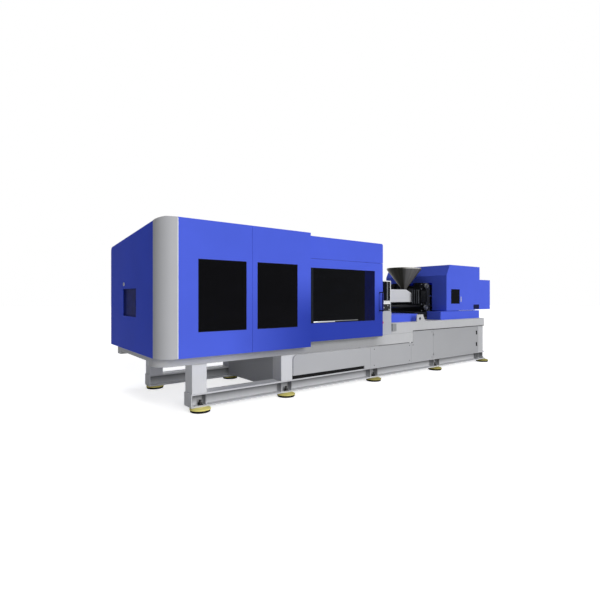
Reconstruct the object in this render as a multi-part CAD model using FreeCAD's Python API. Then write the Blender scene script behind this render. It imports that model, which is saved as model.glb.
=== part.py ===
"""Horizontal injection moulding machine with an electric double-toggle clamp.

Every station along the machine is measured from the outer face of the clamp-end
cover, in millimetres: X runs from the clamp end to the injection end, the operator
stands on the -Y side and the floor is Z = 0. save() moves the origin to the middle
of the machine's length.
"""
import FreeCAD, Part
import math
import os

from FreeCAD import Vector

os.makedirs("parts", exist_ok=True)

# ---- overall ---------------------------------------------------------------------------------
machine_right_end = 7585.0        # outer face of the motor cover
sheet = 3.0                       # folded cover sheet
seam = 3.0                        # gap between neighbouring covers
running_gap = 0.3                 # between faces that pass each other
fit_gap = 0.08                    # radial clearance of bores that run on pins and rods
round_sides = 12                  # sides of the round parts that repeat: feet, eyes and pins
bore_sides = 16                   # sides of the bores round tie bars, pull rods and ball screws

# ---- levelling mounts ------------------------------------------------------------------------
foot_stations = (549.0, 1768.0, 3470.0, 5100.0, 6725.0)
foot_side = 785.0                 # distance of the mounts from the centre plane
pad_radius = 116.0
pad_height = 25.0
cap_radius = 124.0
cap_top_radius = 72.0

# ---- lower beams and legs --------------------------------------------------------------------
beam_bottom = 58.0
beam_top = 218.0
beam_face = 830.0                 # outer flange edge from the centre plane
beam_width = 200.0
beam_flange = 18.0
beam_web = 14.0
beam_start = 342.0
beam_end = 6750.0
stiffener = 12.0
leg_width = 180.0
leg_wall = 9.0
leg_stations = (520.0, 1750.0, 3440.0, 5100.0, 6595.0)
legs_under_clamp_bed = 3

# ---- clamp bed -------------------------------------------------------------------------------
bed_start = 20.0
bed_end = 4385.0
bed_face = 850.0
bed_side_width = 290.0
clamp_bed_bottom = 555.0
clamp_bed_top = 720.0
bed_corner_radius = 150.0
bed_cross_members = ((20.0, 140.0), (860.0, 1080.0), (1640.0, 1815.0), (3080.0, 3400.0),
                     (4285.0, 4385.0))
end_relief_height = 45.0          # the end cross member is shallower than the side beams
end_relief_side = 600.0
way_inner = 590.0
way_outer = 650.0
way_start = 780.0
way_height = 20.0

# ---- injection bed ---------------------------------------------------------------------------
table_start = 3826.0
table_end = 6700.0
table_bottom = 745.0
table_top = 895.0
table_side_width = 150.0
table_cross_members = ((3826.0, 3950.0), (5040.0, 5160.0), (6500.0, 6700.0))
deck_half_width = 430.0
deck_thickness = 40.0
lug_start = 4497.0
lug_end = 4727.0
lug_height = 125.0
lug_thickness = 20.0
lug_hole_radius = 27.0
lug_bevel = 60.0

# ---- side panels and cabinet -----------------------------------------------------------------
panel_face = 848.0
panel_bottom = 212.0
panel_top = 545.0
panel_sheet = 3.0
bulkhead_bottom = 100.0
bulkhead_sheet = 5.0
slot_bottom_edge = 270.0          # lower edge of the left panel above its slot
slot_end = 3200.0
panel_joints = (1845.0, 3337.5, 4337.5, 4972.5)
panel_corner_radius = 60.0
high_panel_top = 740.0
cabinet_door_end = 6466.0
hook_width = 60.0
hinge_heights = (300.0, 650.0)
hinge_pin_radius = 4.0
hinge_barrel_radius = 7.0
hinge_barrel_length = 24.0
hinge_leaf = 20.0
hinge_tab = 6.0
latch_station = 6400.0
latch_heights = (613.0, 383.0)
latch_length = 76.0
latch_width = 24.0
latch_proud = 14.0
latch_spindle_radius = 8.0
latch_cam_length = 45.0

# ---- clamp covers ----------------------------------------------------------------------------
cover_face = 1000.0
cover_bottom = 658.0
cover_top = 2178.0
cover_fold = 40.0
pillar_radius = 200.0
front_cover_joint = 1120.0
clamp_cover_end = 2020.0
roof_front_drop = 34.0            # fall of the roof line across the corner pillar
roof_rear_drop = 124.0             # further fall of the roof to the rear covers
roof_corner_radius = 60.0
window_bottom = 933.0
window_top = 1743.0
window_spans = ((430.0, 1040.0), (1190.0, 1800.0))
pane_thickness = 5.0
pane_lap = 20.0
pocket_side = (-190.0, 380.0)
pocket_height = (1080.0, 1425.0)
pocket_depth = 25.0
key_switch = (325.0, 1485.0)
key_switch_radius = 24.0
key_switch_proud = 8.0

# ---- doors and their frame -------------------------------------------------------------------
door_face = 950.0
door_depth = 31.0
door_start = 2024.0
door_end = 3502.0
door_bottom = 718.0
door_top = 1841.0
door_window = (2050.0, 3320.0, 965.0, 1720.0)
header_end = 3505.0
header_bottom = 1845.0
header_depth = 30.0
header_corner_radius = 30.0
handle_station = 3428.0
handle_heights = (1112.0, 1392.0)
handle_reach = 77.0
handle_bar = 22.0
handle_post = 16.0
post_size = 40.0
post_face = 870.0
post_stations = (42.0, 1100.0, 1976.0, 3460.0)
rail_start = 650.0
rail_size = 20.0
rail_top = 1890.0
rail_plate = 6.0
rail_plate_bottom = 1800.0
hanger_width = 120.0
hanger_stations = (2150.0, 3210.0)
hanger_top = 1915.0
shelf_top = 710.0
guide_bar = (925.0, 937.0)
partition_opening = (400.0, 1030.0, 1620.0)

# ---- clamp unit ------------------------------------------------------------------------------
axis_height = 1345.0
fixed_face = 3100.0
fixed_thickness = 280.0
mould_height = 600.0              # space between the platens when the clamp is closed
movable_thickness = 250.0
platen_half = 515.0
platen_corner = 60.0
tie_bar_radius = 55.0
tie_bar_offset = 420.0
tie_nut_across_flats = 165.0
tie_nut_width = 70.0
platen_foot_height = 120.0
platen_foot_inner = 400.0
locating_bore_radius = 60.0
locating_bore_depth = 30.0
nozzle_recess_half = 160.0
mould_bolt_radius = 10.5
mould_bolt_depth = 45.0
mould_bolt_side = 350.0
mould_bolt_height = 140.0
screw_pocket_half = 100.0
screw_pocket_depth = 190.0

toggle_pin_height = 425.0         # toggle pins above and below the machine axis
toggle_pin_radius = 45.0
rear_link_length = 360.0
front_link_length = 460.0
platen_pin_offset = 100.0
tail_lug_length = 260.0
tail_thickness = 200.0
lug_eye_radius = 65.0
link_eye_radius = 60.0
knee_pin_radius = 38.0
knee_pin_proud = (2.0, 10.0)      # past the inner and outer faces of the front link
rear_link_plates = (150.0, 210.0)     # distance of the link plates from the centre plane
front_link_plates = (215.0, 275.0)
cross_link_plates = (95.0, 145.0)
tail_lug_half = 148.0
platen_lug = (277.0, 335.0)
ear_along = 280.0                 # crosshead link's pivot on the rear link, from the tail pin
ear_inward = 90.0
ear_radius = 34.0
cross_pin_height = 155.0
cross_pin_radius = 20.0
cross_pin_station = 1640.0
crosshead_half_length = 60.0
crosshead_half_width = 90.0
crosshead_half_height = 190.0
guide_bar_offset = 65.0
guide_bar_half = 13.0
guide_bar_end = 1740.0
guide_plate = 15.0
clamp_screw_radius = 32.0
clamp_screw_end = 1760.0
clamp_motor_length = 340.0
clamp_motor_half = 160.0
clamp_motor_corner = 40.0
ejector_plate_station = 2060.0
ejector_plate_thickness = 25.0
ejector_plate_half = (145.0, 250.0)
ejector_rod_offset = 190.0
ejector_rod_radius = 16.0
ejector_rod_recess = 5.0

# ---- injection unit --------------------------------------------------------------------------
slide_rail_side = 330.0
slide_rail_width = 45.0
slide_rail_height = 30.0
slide_rail_span = (4960.0, 6660.0)
pull_rod_side = 360.0
pull_rod_radius = 25.0
carriage_stroke = 340.0
base_span = (4980.0, 6460.0)
base_bottom = 965.0
base_top = 1035.0
base_half_width = 430.0
guide_block_stations = (4990.0, 5900.0)
guide_block_length = 160.0
guide_block_width = 120.0
plate_rail_side = 300.0
plate_rail_width = 50.0
plate_rail_height = 25.0
plate_rail_span = (5500.0, 6330.0)
front_plate_span = (5330.0, 5450.0)
rear_plate_span = (6380.0, 6460.0)
drive_plate_half = 430.0
drive_plate_top = 1600.0
boss_height = 195.0
boss_across_flats = 104.0
boss_length = 42.0
plate_corner = 80.0
feed_block_half = 150.0
feed_block_bottom = 1200.0
throat_radius = 40.0
ball_screw_side = 300.0
ball_screw_radius = 25.0
ball_screw_end = 6620.0
injection_motor_half = 112.0
injection_motor_length = 420.0
motor_corner = 40.0
cover_arm = 40.0
pressure_plate_station = 5720.0
pressure_plate_thickness = 120.0
pressure_plate_half = 360.0
pressure_plate_top = 1560.0
rod_notch_gap = 15.0
screw_motor_half = 120.0
screw_motor_length = 250.0
screw_front = 3450.0
screw_tip = 80.0
screw_tip_radius = 18.0
barrel_start = 3420.0
barrel_radius = 80.0
barrel_bore_radius = 33.0
nozzle_body_radius = 60.0
nozzle_body = 90.0
nozzle_start = 3135.0
nozzle_radius = 30.0
nozzle_hole_radius = 4.0
heater_band_thickness = 14.0
heater_band_width = 150.0
heater_band_start = 3440.0
heater_band_pitch = 560.0
heater_band_count = 3
hood_start = 3600.0
hood_end = 5149.0
hood_half_width = 230.0
hood_bottom = 1228.0
hood_top = 1465.0
hood_bevel = (151.0, 66.0)
hood_mouth_gap = 20.0
hopper_station = 5210.0
hopper_rim_radius = 340.0
hopper_rim_height = 1893.0
hopper_band = 62.0
hopper_foot_radius = 60.0
hopper_bottom = 1490.0
hopper_sides = 12                 # bends of the funnel
hopper_clearance = 15.0           # between the funnel and the drive plate
band_sides = 16                   # facets of the heater bands and of the stop button

# ---- injection covers ------------------------------------------------------------------------
injection_cover_span = (5540.0, 6720.0)
injection_cover_side = 740.0
injection_cover_bottom = 1060.0
injection_cover_top = 1940.0
injection_cover_bevel = (110.0, 203.0)
injection_cover_opening = (420.0, 1600.0)
inspection_window = (5690.0, 5985.0, 1193.0, 1474.0)
corner_notch = (6545.0, 1172.0)
motor_cover_side = 500.0
motor_cover_height = (1055.0, 1698.0)
base_cover_span = (5350.0, 6700.0)
base_cover_top = 1050.0
base_cover_depth = 140.0
low_cover_span = (3980.0, 4680.0)
low_cover_side = 720.0
low_cover_top = 1025.0

# ---- operator panel --------------------------------------------------------------------------
pedestal_gap = 3.0                # between the pedestal and the injection bed
pedestal_width = 312.0
pedestal_depth = 250.0
pedestal_top = 1083.0
panel_inset = 12.0                # the panel's head is narrower than the pedestal
panel_depth = 60.0
panel_head_top = 1586.0
screen_margin = 16.0
screen_bottom = 1262.0
screen_recess = 4.0
screen_thickness = 3.0
keypad_height = (1098.0, 1240.0)
keypad_recess = 3.0
stop_inset = 79.0                 # from the pedestal's edge to the stop button
stop_height = 918.0
stop_radius = 20.0
stop_head = 14.0
stop_travel_gap = 8.0
stop_stem_half = 8.0
stop_stem = 30.0
socket_width = 96.0
socket_height = (768.0, 885.0)
socket_proud = 22.0

# ---- worked-out values ----------------------------------------------------------------------
movable_face = fixed_face - mould_height
movable_back = movable_face - movable_thickness
fixed_back = fixed_face + fixed_thickness
platen_pin_station = movable_back - platen_pin_offset
tail_pin_station = platen_pin_station - front_link_length - rear_link_length
tail_front = tail_pin_station - tail_lug_length
tail_back = tail_front - tail_thickness
way_top = clamp_bed_top + way_height
inner_face = post_face - post_size
roof_rear_height = cover_top - roof_front_drop - roof_rear_drop
pedestal_end = table_start - pedestal_gap
pedestal_start = pedestal_end - pedestal_width
panel_end = pedestal_end - panel_inset
stop_station = pedestal_start + stop_inset


def roof_line(side):
    """Height of the roof's top surface at a distance from the centre plane."""
    front_flat = -cover_face + cover_fold
    pillar_edge = -cover_face + pillar_radius
    if side <= front_flat:
        return cover_top
    if side <= pillar_edge:
        return cover_top - roof_front_drop * (side - front_flat) / (pillar_edge - front_flat)
    pillar_top = cover_top - roof_front_drop
    fall = (pillar_top - roof_rear_height) / (cover_face - pillar_edge)
    return pillar_top - fall * (side - pillar_edge)


carriage_axis_low = axis_height - boss_height
frame_tops = {-1: roof_line(-inner_face) - sheet, 1: roof_line(post_face) - sheet}


# ---- helpers ---------------------------------------------------------------------------------
def block(x0, x1, y0, y1, z0, z1):
    return Part.makeBox(x1 - x0, y1 - y0, z1 - z0, Vector(x0, y0, z0))


def sided(side, x0, x1, y0, y1, z0, z1):
    """A block given by distances from the centre plane, on the front (-1) or rear (1)."""
    return block(x0, x1, min(side * y0, side * y1), max(side * y0, side * y1), z0, z1)


def rod_x(radius, x0, x1, y, z):
    return Part.makeCylinder(radius, x1 - x0, Vector(x0, y, z), Vector(1, 0, 0))


def rod_z(radius, x, y, z0, z1):
    return Part.makeCylinder(radius, z1 - z0, Vector(x, y, z0))


def prism_xz(points, y0, y1):
    """A closed outline of (x, z) points, carried from y0 to y1."""
    corners = [Vector(x, y0, z) for x, z in points]
    return Part.Face(Part.makePolygon(corners + corners[:1])).extrude(Vector(0, y1 - y0, 0))


def prism_yz(points, x0, x1):
    corners = [Vector(x0, y, z) for y, z in points]
    return Part.Face(Part.makePolygon(corners + corners[:1])).extrude(Vector(x1 - x0, 0, 0))


def ring_points(sides, radius, a, b, turn=0.5):
    """Corners of a regular polygon round (a, b)."""
    corners = []
    for k in range(sides):
        angle = 2 * math.pi * (k + turn) / sides
        corners.append((a + radius * math.cos(angle), b + radius * math.sin(angle)))
    return corners


def pin_y(radius, x, y0, y1, z, turn=0.0):
    """Many-sided pin whose corners lie on the radius."""
    return prism_xz(ring_points(round_sides, radius, x, z, turn), y0, y1)


def pin_x(radius, x0, x1, y, z, turn=0.0):
    return prism_yz(ring_points(round_sides, radius, y, z, turn), x0, x1)


def pin_z(radius, x, y, z0, z1, turn=0.0):
    return funnel(round_sides, x, y, ((radius, z0), (radius, z1)), turn)


def hole_for(radius, sides=round_sides):
    """Corner radius of a many-sided hole whose flats clear a pin of this radius."""
    return (radius + fit_gap) / math.cos(math.pi / sides)


def bore_x(radius, x0, x1, y, z):
    """Many-sided bore whose flats clear a rod of this radius."""
    return prism_yz(ring_points(bore_sides, hole_for(radius, bore_sides), y, z), x0, x1)


def funnel(sides, x, y, levels, turn=0.5):
    """Flat-sided solid through regular polygons, given as (radius, height) from the bottom up."""
    rings = []
    for radius, z in levels:
        rings.append([Vector(a, b, z) for a, b in ring_points(sides, radius, x, y, turn)])
    faces = [Part.Face(Part.makePolygon(ring + ring[:1])) for ring in (rings[0], rings[-1])]
    for low, high in zip(rings[:-1], rings[1:]):
        for k in range(sides):
            m = (k + 1) % sides
            faces.append(Part.Face(Part.makePolygon([low[k], low[m], high[m], high[k], low[k]])))
    return Part.Solid(Part.Shell(faces))


def hexagon_x(across_flats, x0, x1, y, z):
    return prism_yz(ring_points(6, across_flats / math.sqrt(3), y, z, 0), x0, x1)


def fuse(*shapes):
    result = shapes[0].fuse(list(shapes[1:])) if len(shapes) > 1 else shapes[0]
    return result.removeSplitter()


def mirrored(shape):
    return shape.mirror(Vector(0, 0, 0), Vector(0, 1, 0))


def both_sides(shape):
    return [shape, mirrored(shape)]


def edges_along(shape, direction, wanted):
    """Straight edges along a direction whose middle point passes a test."""
    found = []
    for edge in shape.Edges:
        span = edge.lastVertex().Point - edge.firstVertex().Point
        if span.Length > 0 and abs(span.dot(direction)) > 0.999 * span.Length:
            if wanted(edge.CenterOfMass):
                found.append(edge)
    return found


def save(name, solids):
    """Write one node, with the origin moved to the middle of the machine's length."""
    middle = (machine_right_end - key_switch_proud) / 2
    moved = [solid.translated(Vector(-middle, 0, 0)) for solid in solids]
    shape = moved[0] if len(moved) == 1 else Part.makeCompound(moved)
    shape.exportStep("parts/%s.step" % name)


# ---- base ------------------------------------------------------------------------------------
def base_beam():
    inner = beam_face - beam_width
    web_inner = beam_face - beam_width / 2 - beam_web / 2
    web_outer = web_inner + beam_web
    low = beam_bottom + beam_flange
    high = beam_top - beam_flange
    outline = [(inner, beam_bottom), (beam_face, beam_bottom), (beam_face, low), (web_outer, low),
               (web_outer, high), (beam_face, high), (beam_face, beam_top), (inner, beam_top),
               (inner, high), (web_inner, high), (web_inner, low), (inner, low)]
    beam = prism_yz(outline, beam_start, beam_end)
    plates = []
    for station in leg_stations:
        for edge in (station - leg_width / 2, station + leg_width / 2 - stiffener):
            plates.append(block(edge, edge + stiffener, web_outer, beam_face - stiffener / 2, low, high))
    return fuse(beam, *plates)


def bed_legs():
    legs = []
    for index, station in enumerate(leg_stations):
        top = clamp_bed_bottom if index < legs_under_clamp_bed else table_bottom
        x0 = station - leg_width / 2
        x1 = station + leg_width / 2
        y0 = beam_face - beam_width
        tube = block(x0, x1, y0, beam_face, beam_top, top)
        bore = block(x0 + leg_wall, x1 - leg_wall, y0 + leg_wall, beam_face - leg_wall, beam_top, top)
        legs.extend(both_sides(tube.cut(bore)))
    return legs


def levelling_pads():
    pads = []
    for station in foot_stations:
        levels = ((pad_radius, 0), (pad_radius, pad_height))
        pads.extend(both_sides(funnel(round_sides, station, foot_side, levels)))
    return pads


def levelling_caps():
    caps = []
    for station in foot_stations:
        levels = ((cap_radius, pad_height), (cap_top_radius, beam_bottom))
        caps.extend(both_sides(funnel(round_sides, station, foot_side, levels)))
    return caps


def clamp_bed():
    bed = block(bed_start, bed_end, -bed_face, bed_face, clamp_bed_bottom, clamp_bed_top)
    corners = edges_along(bed, Vector(0, 0, 1), lambda point: point.x < bed_start + 1)
    bed = bed.makeFillet(bed_corner_radius, corners)
    inner = bed_face - bed_side_width
    holes = []
    for left, right in zip(bed_cross_members[:-1], bed_cross_members[1:]):
        holes.append(block(left[1], right[0], -inner, inner, clamp_bed_bottom, clamp_bed_top))
    holes.append(block(bed_start, bed_cross_members[0][1], -end_relief_side, end_relief_side,
                       clamp_bed_bottom, clamp_bed_bottom + end_relief_height))
    bed = bed.cut(Part.makeCompound(holes))
    ways = both_sides(block(way_start, fixed_face - 20, way_inner, way_outer, clamp_bed_top, way_top))
    return fuse(bed, *ways)


def lifting_lug():
    """Trapezoid plate with a shackle hole, welded to the edge of the injection bed."""
    outline = [(lug_start, table_top), (lug_end, table_top), (lug_end - lug_bevel, table_top + lug_height),
               (lug_start, table_top + lug_height)]
    plate = prism_xz(outline, -bed_face, -bed_face + lug_thickness)
    centre = (lug_start + lug_end - lug_bevel) / 2
    hole = pin_y(lug_hole_radius, centre, -bed_face, -bed_face + lug_thickness,
                 table_top + 2 * lug_hole_radius)
    return plate.cut(hole)


def injection_bed():
    inner = bed_face - table_side_width
    pieces = both_sides(block(table_start, table_end, inner, bed_face, table_bottom, table_top))
    pieces += both_sides(block(table_start, bed_end, inner, bed_face, clamp_bed_top, table_bottom))
    for left, right in table_cross_members:
        pieces.append(block(left, right, -inner, inner, table_bottom, table_top))
    pieces.append(block(table_start, table_end, -deck_half_width, deck_half_width,
                        table_top - deck_thickness, table_top))
    pieces += both_sides(lifting_lug())
    return fuse(*pieces)


# ---- side panels -----------------------------------------------------------------------------
def folded_panel(outline, depth=panel_face - beam_face):
    """A front panel with its edges folded back to the frame."""
    outer = prism_xz(outline, -panel_face, -panel_face + depth)
    face = Part.Face(Part.makePolygon([Vector(x, 0, z) for x, z in outline + outline[:1]]))
    core = face.makeOffset2D(-panel_sheet, 2)
    core = core.translated(Vector(0, -panel_face + panel_sheet, 0)).extrude(Vector(0, depth, 0))
    return outer.cut(core)


def hooks(stations, top):
    """Tabs that tuck the panel up against the bed above it."""
    tabs = []
    for station in stations:
        tabs.append(block(station, station + hook_width, -beam_face - panel_sheet, -beam_face,
                          top - panel_sheet, clamp_bed_bottom))
    return tabs


def rounded_corner_points(x, z, radius):
    """Points of a rounded top-left corner, from the left edge to the top edge."""
    points = []
    for k in range(5):
        angle = math.radians(180 - 22.5 * k)
        points.append((x + radius + radius * math.cos(angle), z - radius + radius * math.sin(angle)))
    return points


def left_panel():
    x0 = panel_joints[0]
    x1 = panel_joints[1] - seam / 2
    outline = rounded_corner_points(x0, panel_top, panel_corner_radius)
    outline += [(x1, panel_top), (x1, panel_bottom), (slot_end, panel_bottom), (slot_end, slot_bottom_edge),
                (x0, slot_bottom_edge)]
    return fuse(folded_panel(outline), *hooks((x0 + 200, x1 - 260), panel_top))


def middle_panel():
    x0 = panel_joints[1] + seam / 2
    x1 = panel_joints[2] - seam / 2
    return folded_panel([(x0, panel_bottom), (x1, panel_bottom), (x1, panel_top), (x0, panel_top)])


def right_panel():
    x0 = panel_joints[2] + seam / 2
    x1 = panel_joints[3] - seam / 2
    step = bed_end + seam
    outline = [(x0, panel_bottom), (x1, panel_bottom), (x1, high_panel_top), (step, high_panel_top),
               (step, panel_top), (x0, panel_top)]
    return folded_panel(outline)


def hinge_line():
    return panel_joints[3], -panel_face - hinge_barrel_radius - running_gap


def panel_hinges():
    """Brackets above and below each hinge barrel, with the pin that joins them."""
    x, y = hinge_line()
    half = hinge_barrel_length / 2 + running_gap
    pieces = []
    for height in hinge_heights:
        pin = pin_z(hinge_pin_radius, x, y, height - half - hinge_tab, height + half + hinge_tab)
        tabs = []
        for z0 in (height - half - hinge_tab, height + half):
            z1 = z0 + hinge_tab
            tabs.append(block(x - hinge_leaf, x - seam / 2, y - hinge_pin_radius, -panel_face, z0, z1))
            tabs.append(block(x - seam / 2, x + hinge_pin_radius, y - hinge_pin_radius,
                              y + hinge_pin_radius, z0, z1))
        pieces.append(fuse(pin, *tabs))
    return pieces


def cabinet_outline():
    x0 = panel_joints[3] + seam / 2
    return [(x0, panel_bottom), (cabinet_door_end, panel_bottom), (cabinet_door_end, high_panel_top),
            (x0, high_panel_top)]


def side_panels():
    panels = [left_panel(), middle_panel()]
    rear = [mirrored(panel) for panel in panels]
    rear.append(mirrored(right_panel()))
    rear.append(mirrored(folded_panel(cabinet_outline())))
    panels.append(fuse(right_panel(), *panel_hinges()))
    inner = beam_face - beam_width
    station = leg_stations[1] - leg_width / 2
    bulkhead = block(station, station + bulkhead_sheet, -inner, inner, bulkhead_bottom, clamp_bed_bottom)
    return panels + rear + [bulkhead]


def cabinet_door():
    door = folded_panel(cabinet_outline(), panel_face - beam_face - running_gap)
    x, y = hinge_line()
    half = hinge_barrel_length / 2
    pieces = []
    bores = []
    for height in hinge_heights:
        leaf = block(x, x + hinge_leaf, y, -panel_face, height - half, height + half)
        pieces.append(fuse(pin_z(hinge_barrel_radius, x, y, height - half, height + half), leaf))
        bores.append(pin_z(hole_for(hinge_pin_radius), x, y, height - half, height + half, 0.5))
    door = fuse(door, *pieces)
    for height in latch_heights:
        bores.append(pin_y(hole_for(latch_spindle_radius), latch_station, -panel_face, -beam_face, height,
                           0.5))
    return door.cut(Part.makeCompound(bores))


def cabinet_latch(height):
    """Quarter-turn latch: a grip in front of the door sheet and a cam behind it."""
    outside = -panel_face - running_gap
    inside = -panel_face + panel_sheet + running_gap
    grip = block(latch_station - latch_width / 2, latch_station + latch_width / 2, outside - latch_proud,
                 outside, height - latch_length / 2, height + latch_length / 2)
    grip = grip.makeChamfer(latch_width / 4, edges_along(grip, Vector(0, 1, 0), lambda point: True))
    spindle = pin_y(latch_spindle_radius, latch_station, outside - 1, inside + 1, height)
    cam = block(latch_station - latch_spindle_radius, latch_station + latch_cam_length, inside, inside + 4,
                height - latch_spindle_radius, height + latch_spindle_radius)
    return fuse(grip, spindle, cam)


# ---- clamp covers ----------------------------------------------------------------------------
def cover_tray(side, face, depth, x0, x1, z0, z1, opening=None, corner=0.0):
    """A cover in the XZ plane with all four edges folded inward."""
    def raw(inset, y0, y1):
        shape = sided(side, x0 + inset, x1 - inset, y0, y1, z0 + inset, z1 - inset)
        if corner:
            ends = edges_along(shape, Vector(0, 1, 0),
                               lambda point: point.x > x1 - inset - 1 and point.z > z1 - inset - 1)
            shape = shape.makeFillet(corner - inset, ends)
        return shape
    tray = raw(0, face - depth, face).cut(raw(sheet, face - depth, face - sheet))
    if opening:
        left, right, bottom, top = opening
        tray = tray.cut(sided(side, left, right, face - sheet, face, bottom, top))
    return tray


def clamp_cover(side, x0, x1, top, opening=None):
    """One of the two tall covers beside the toggle, with its foot flange on the bed."""
    tray = cover_tray(side, cover_face, cover_fold, x0, x1, cover_bottom, top, opening)
    foot = sided(side, x0, x1, bed_face + running_gap, cover_face, cover_bottom, cover_bottom + sheet)
    return fuse(tray, foot)


def window_opening(span):
    return (span[0], span[1], window_bottom, window_top)


def window_pane(side, face, opening):
    left, right, bottom, top = opening
    return sided(side, left - pane_lap, right + pane_lap, face - sheet - pane_thickness, face - sheet,
                 bottom - pane_lap, top + pane_lap)


def header(side):
    top = frame_tops[side]
    tray = cover_tray(side, door_face, header_depth, door_start, header_end, header_bottom, top,
                      corner=header_corner_radius)
    flange = sided(side, door_start, header_end - header_corner_radius, post_face, door_face,
                   top - sheet, top)
    return fuse(tray, flange)


def rear_covers():
    left = clamp_cover(1, cover_fold + running_gap, front_cover_joint - seam / 2, roof_rear_height)
    right = clamp_cover(1, front_cover_joint + seam / 2, clamp_cover_end, roof_rear_height)
    return [left, right, header(1)]


def roof_section(y0, y1, thickness):
    """Strip under the roof line between two distances from the centre plane."""
    breaks = [y0]
    for corner in (-cover_face + cover_fold, -cover_face + pillar_radius):
        if y0 < corner < y1:
            breaks.append(corner)
    breaks.append(y1)
    upper = [(y, roof_line(y)) for y in breaks]
    lower = [(y, roof_line(y) - thickness) for y in reversed(breaks)]
    return upper + lower


def end_cover():
    pillar_edge = -cover_face + pillar_radius

    def body(inset, x0, x1):
        outline = [(pillar_edge + inset, cover_bottom + inset), (cover_face - inset, cover_bottom + inset),
                   (cover_face - inset, roof_rear_height - inset),
                   (pillar_edge + inset, roof_line(pillar_edge) - inset)]
        shape = prism_yz(outline, x0, x1)
        corner = edges_along(shape, Vector(1, 0, 0), lambda point: point.y > cover_face - inset - 1
                             and point.z > roof_rear_height - inset - 1)
        return shape.makeFillet(roof_corner_radius - inset, corner)

    shell = body(0, 0, cover_fold).cut(body(sheet, sheet, cover_fold))
    y0, y1 = pocket_side
    z0, z1 = pocket_height
    box = block(0, pocket_depth + sheet, y0 - sheet, y1 + sheet, z0 - sheet, z1 + sheet)
    latch = block(pocket_depth - 12, pocket_depth, y0 + 60, y0 + 90, (z0 + z1) / 2 - 45, (z0 + z1) / 2 + 45)
    shell = fuse(shell, box).cut(block(0, pocket_depth, y0, y1, z0, z1))
    bed = block(bed_start - running_gap, cover_fold, -bed_face - running_gap, bed_face + running_gap,
                cover_bottom, clamp_bed_top + running_gap)
    switch = pin_x(key_switch_radius, -key_switch_proud, sheet, key_switch[0], key_switch[1])
    return fuse(shell.cut(bed), latch, switch)


def corner_pillar():
    centre_y = -cover_face + pillar_radius
    quarter = block(0, pillar_radius, -cover_face, centre_y, cover_bottom, cover_top)
    under_roof = prism_yz([(-cover_face, cover_bottom)] + roof_section(-cover_face, centre_y, 0)[:3]
                          + [(centre_y, cover_bottom)], 0, pillar_radius)
    wall = rod_z(pillar_radius, pillar_radius, centre_y, cover_bottom, cover_top)
    wall = wall.cut(rod_z(pillar_radius - sheet, pillar_radius, centre_y, cover_bottom, cover_top))
    lip = rod_z(pillar_radius - sheet, pillar_radius, centre_y, cover_bottom, cover_top)
    lip = lip.cut(rod_z(pillar_radius - cover_fold, pillar_radius, centre_y, cover_bottom, cover_top))
    cap = prism_yz(roof_section(-cover_face, centre_y, sheet), 0, pillar_radius)
    wall = wall.common(quarter).common(under_roof)
    lip = lip.common(quarter).common(cap)
    return fuse(wall, lip)


def roof_cover():
    edge = cover_face - cover_fold - running_gap
    start = cover_fold + running_gap
    strip = prism_yz(roof_section(-edge, edge, sheet), start, clamp_cover_end)
    centre_y = -cover_face + pillar_radius
    corner = block(start, pillar_radius, -edge, centre_y, 0, cover_top + 1)
    keep = rod_z(pillar_radius - start, pillar_radius, centre_y, 0, cover_top + 1)
    return strip.cut(corner.cut(keep))


# ---- doors and frame -------------------------------------------------------------------------
def cover_frame():
    tubes = []
    for side in (-1, 1):
        top = frame_tops[side]
        for station in post_stations:
            tubes.append(sided(side, station, station + post_size, inner_face, post_face,
                               clamp_bed_top, top - post_size))
        tubes.append(sided(side, post_stations[0], post_stations[-1] + post_size, inner_face, post_face,
                           top - post_size, top))
        end = post_stations[-1] + post_size
        plate = sided(side, rail_start, end, post_face, post_face + rail_plate, rail_plate_bottom, rail_top)
        rail = sided(side, rail_start, end, post_face + rail_plate, post_face + rail_plate + rail_size,
                     rail_top - rail_size, rail_top)
        tubes.append(fuse(plate, rail))
        shelf = sided(side, rail_start, end, bed_face, guide_bar[1] + 3, shelf_top - 6, shelf_top)
        bar = sided(side, rail_start, end, guide_bar[0], guide_bar[1], shelf_top, door_bottom - 1)
        tubes.append(fuse(shelf, bar))
    rear_top = frame_tops[1]
    for station in post_stations:
        tubes.append(block(station, station + post_size, -inner_face, inner_face, rear_top - post_size,
                           rear_top))
    return tubes


def door(side, with_handle):
    tray = cover_tray(side, door_face, door_depth, door_start, door_end, door_bottom, door_top, door_window)
    back = door_face - door_depth
    top_bar = sided(side, door_start, door_end, back - 6, back, door_window[3] + pane_lap + 2, door_top)
    pieces = [tray, top_bar]
    for station in hanger_stations:
        pieces.append(sided(side, station, station + hanger_width, back - 6, back, door_top, hanger_top))
        pieces.append(sided(side, station, station + hanger_width, post_face + rail_plate / 2, back,
                            rail_top + running_gap, hanger_top))
    if with_handle:
        pieces.append(door_handle(side))
    return fuse(*pieces)


def door_handle(side):
    """Bow handle: a square bar on two short posts."""
    x0 = handle_station - handle_bar / 2
    bar = sided(side, x0, x0 + handle_bar, door_face + handle_reach - handle_bar, door_face + handle_reach,
                handle_heights[0] - handle_bar / 2, handle_heights[1] + handle_bar / 2)
    bar = bar.makeChamfer(handle_bar / 5, edges_along(bar, Vector(0, 0, 1), lambda point: True))
    posts = []
    for height in handle_heights:
        posts.append(sided(side, handle_station - handle_post / 2,
                           handle_station + handle_post / 2, door_face,
                           door_face + handle_reach - handle_bar, height - handle_post / 2,
                           height + handle_post / 2))
    return fuse(bar, *posts)


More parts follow.
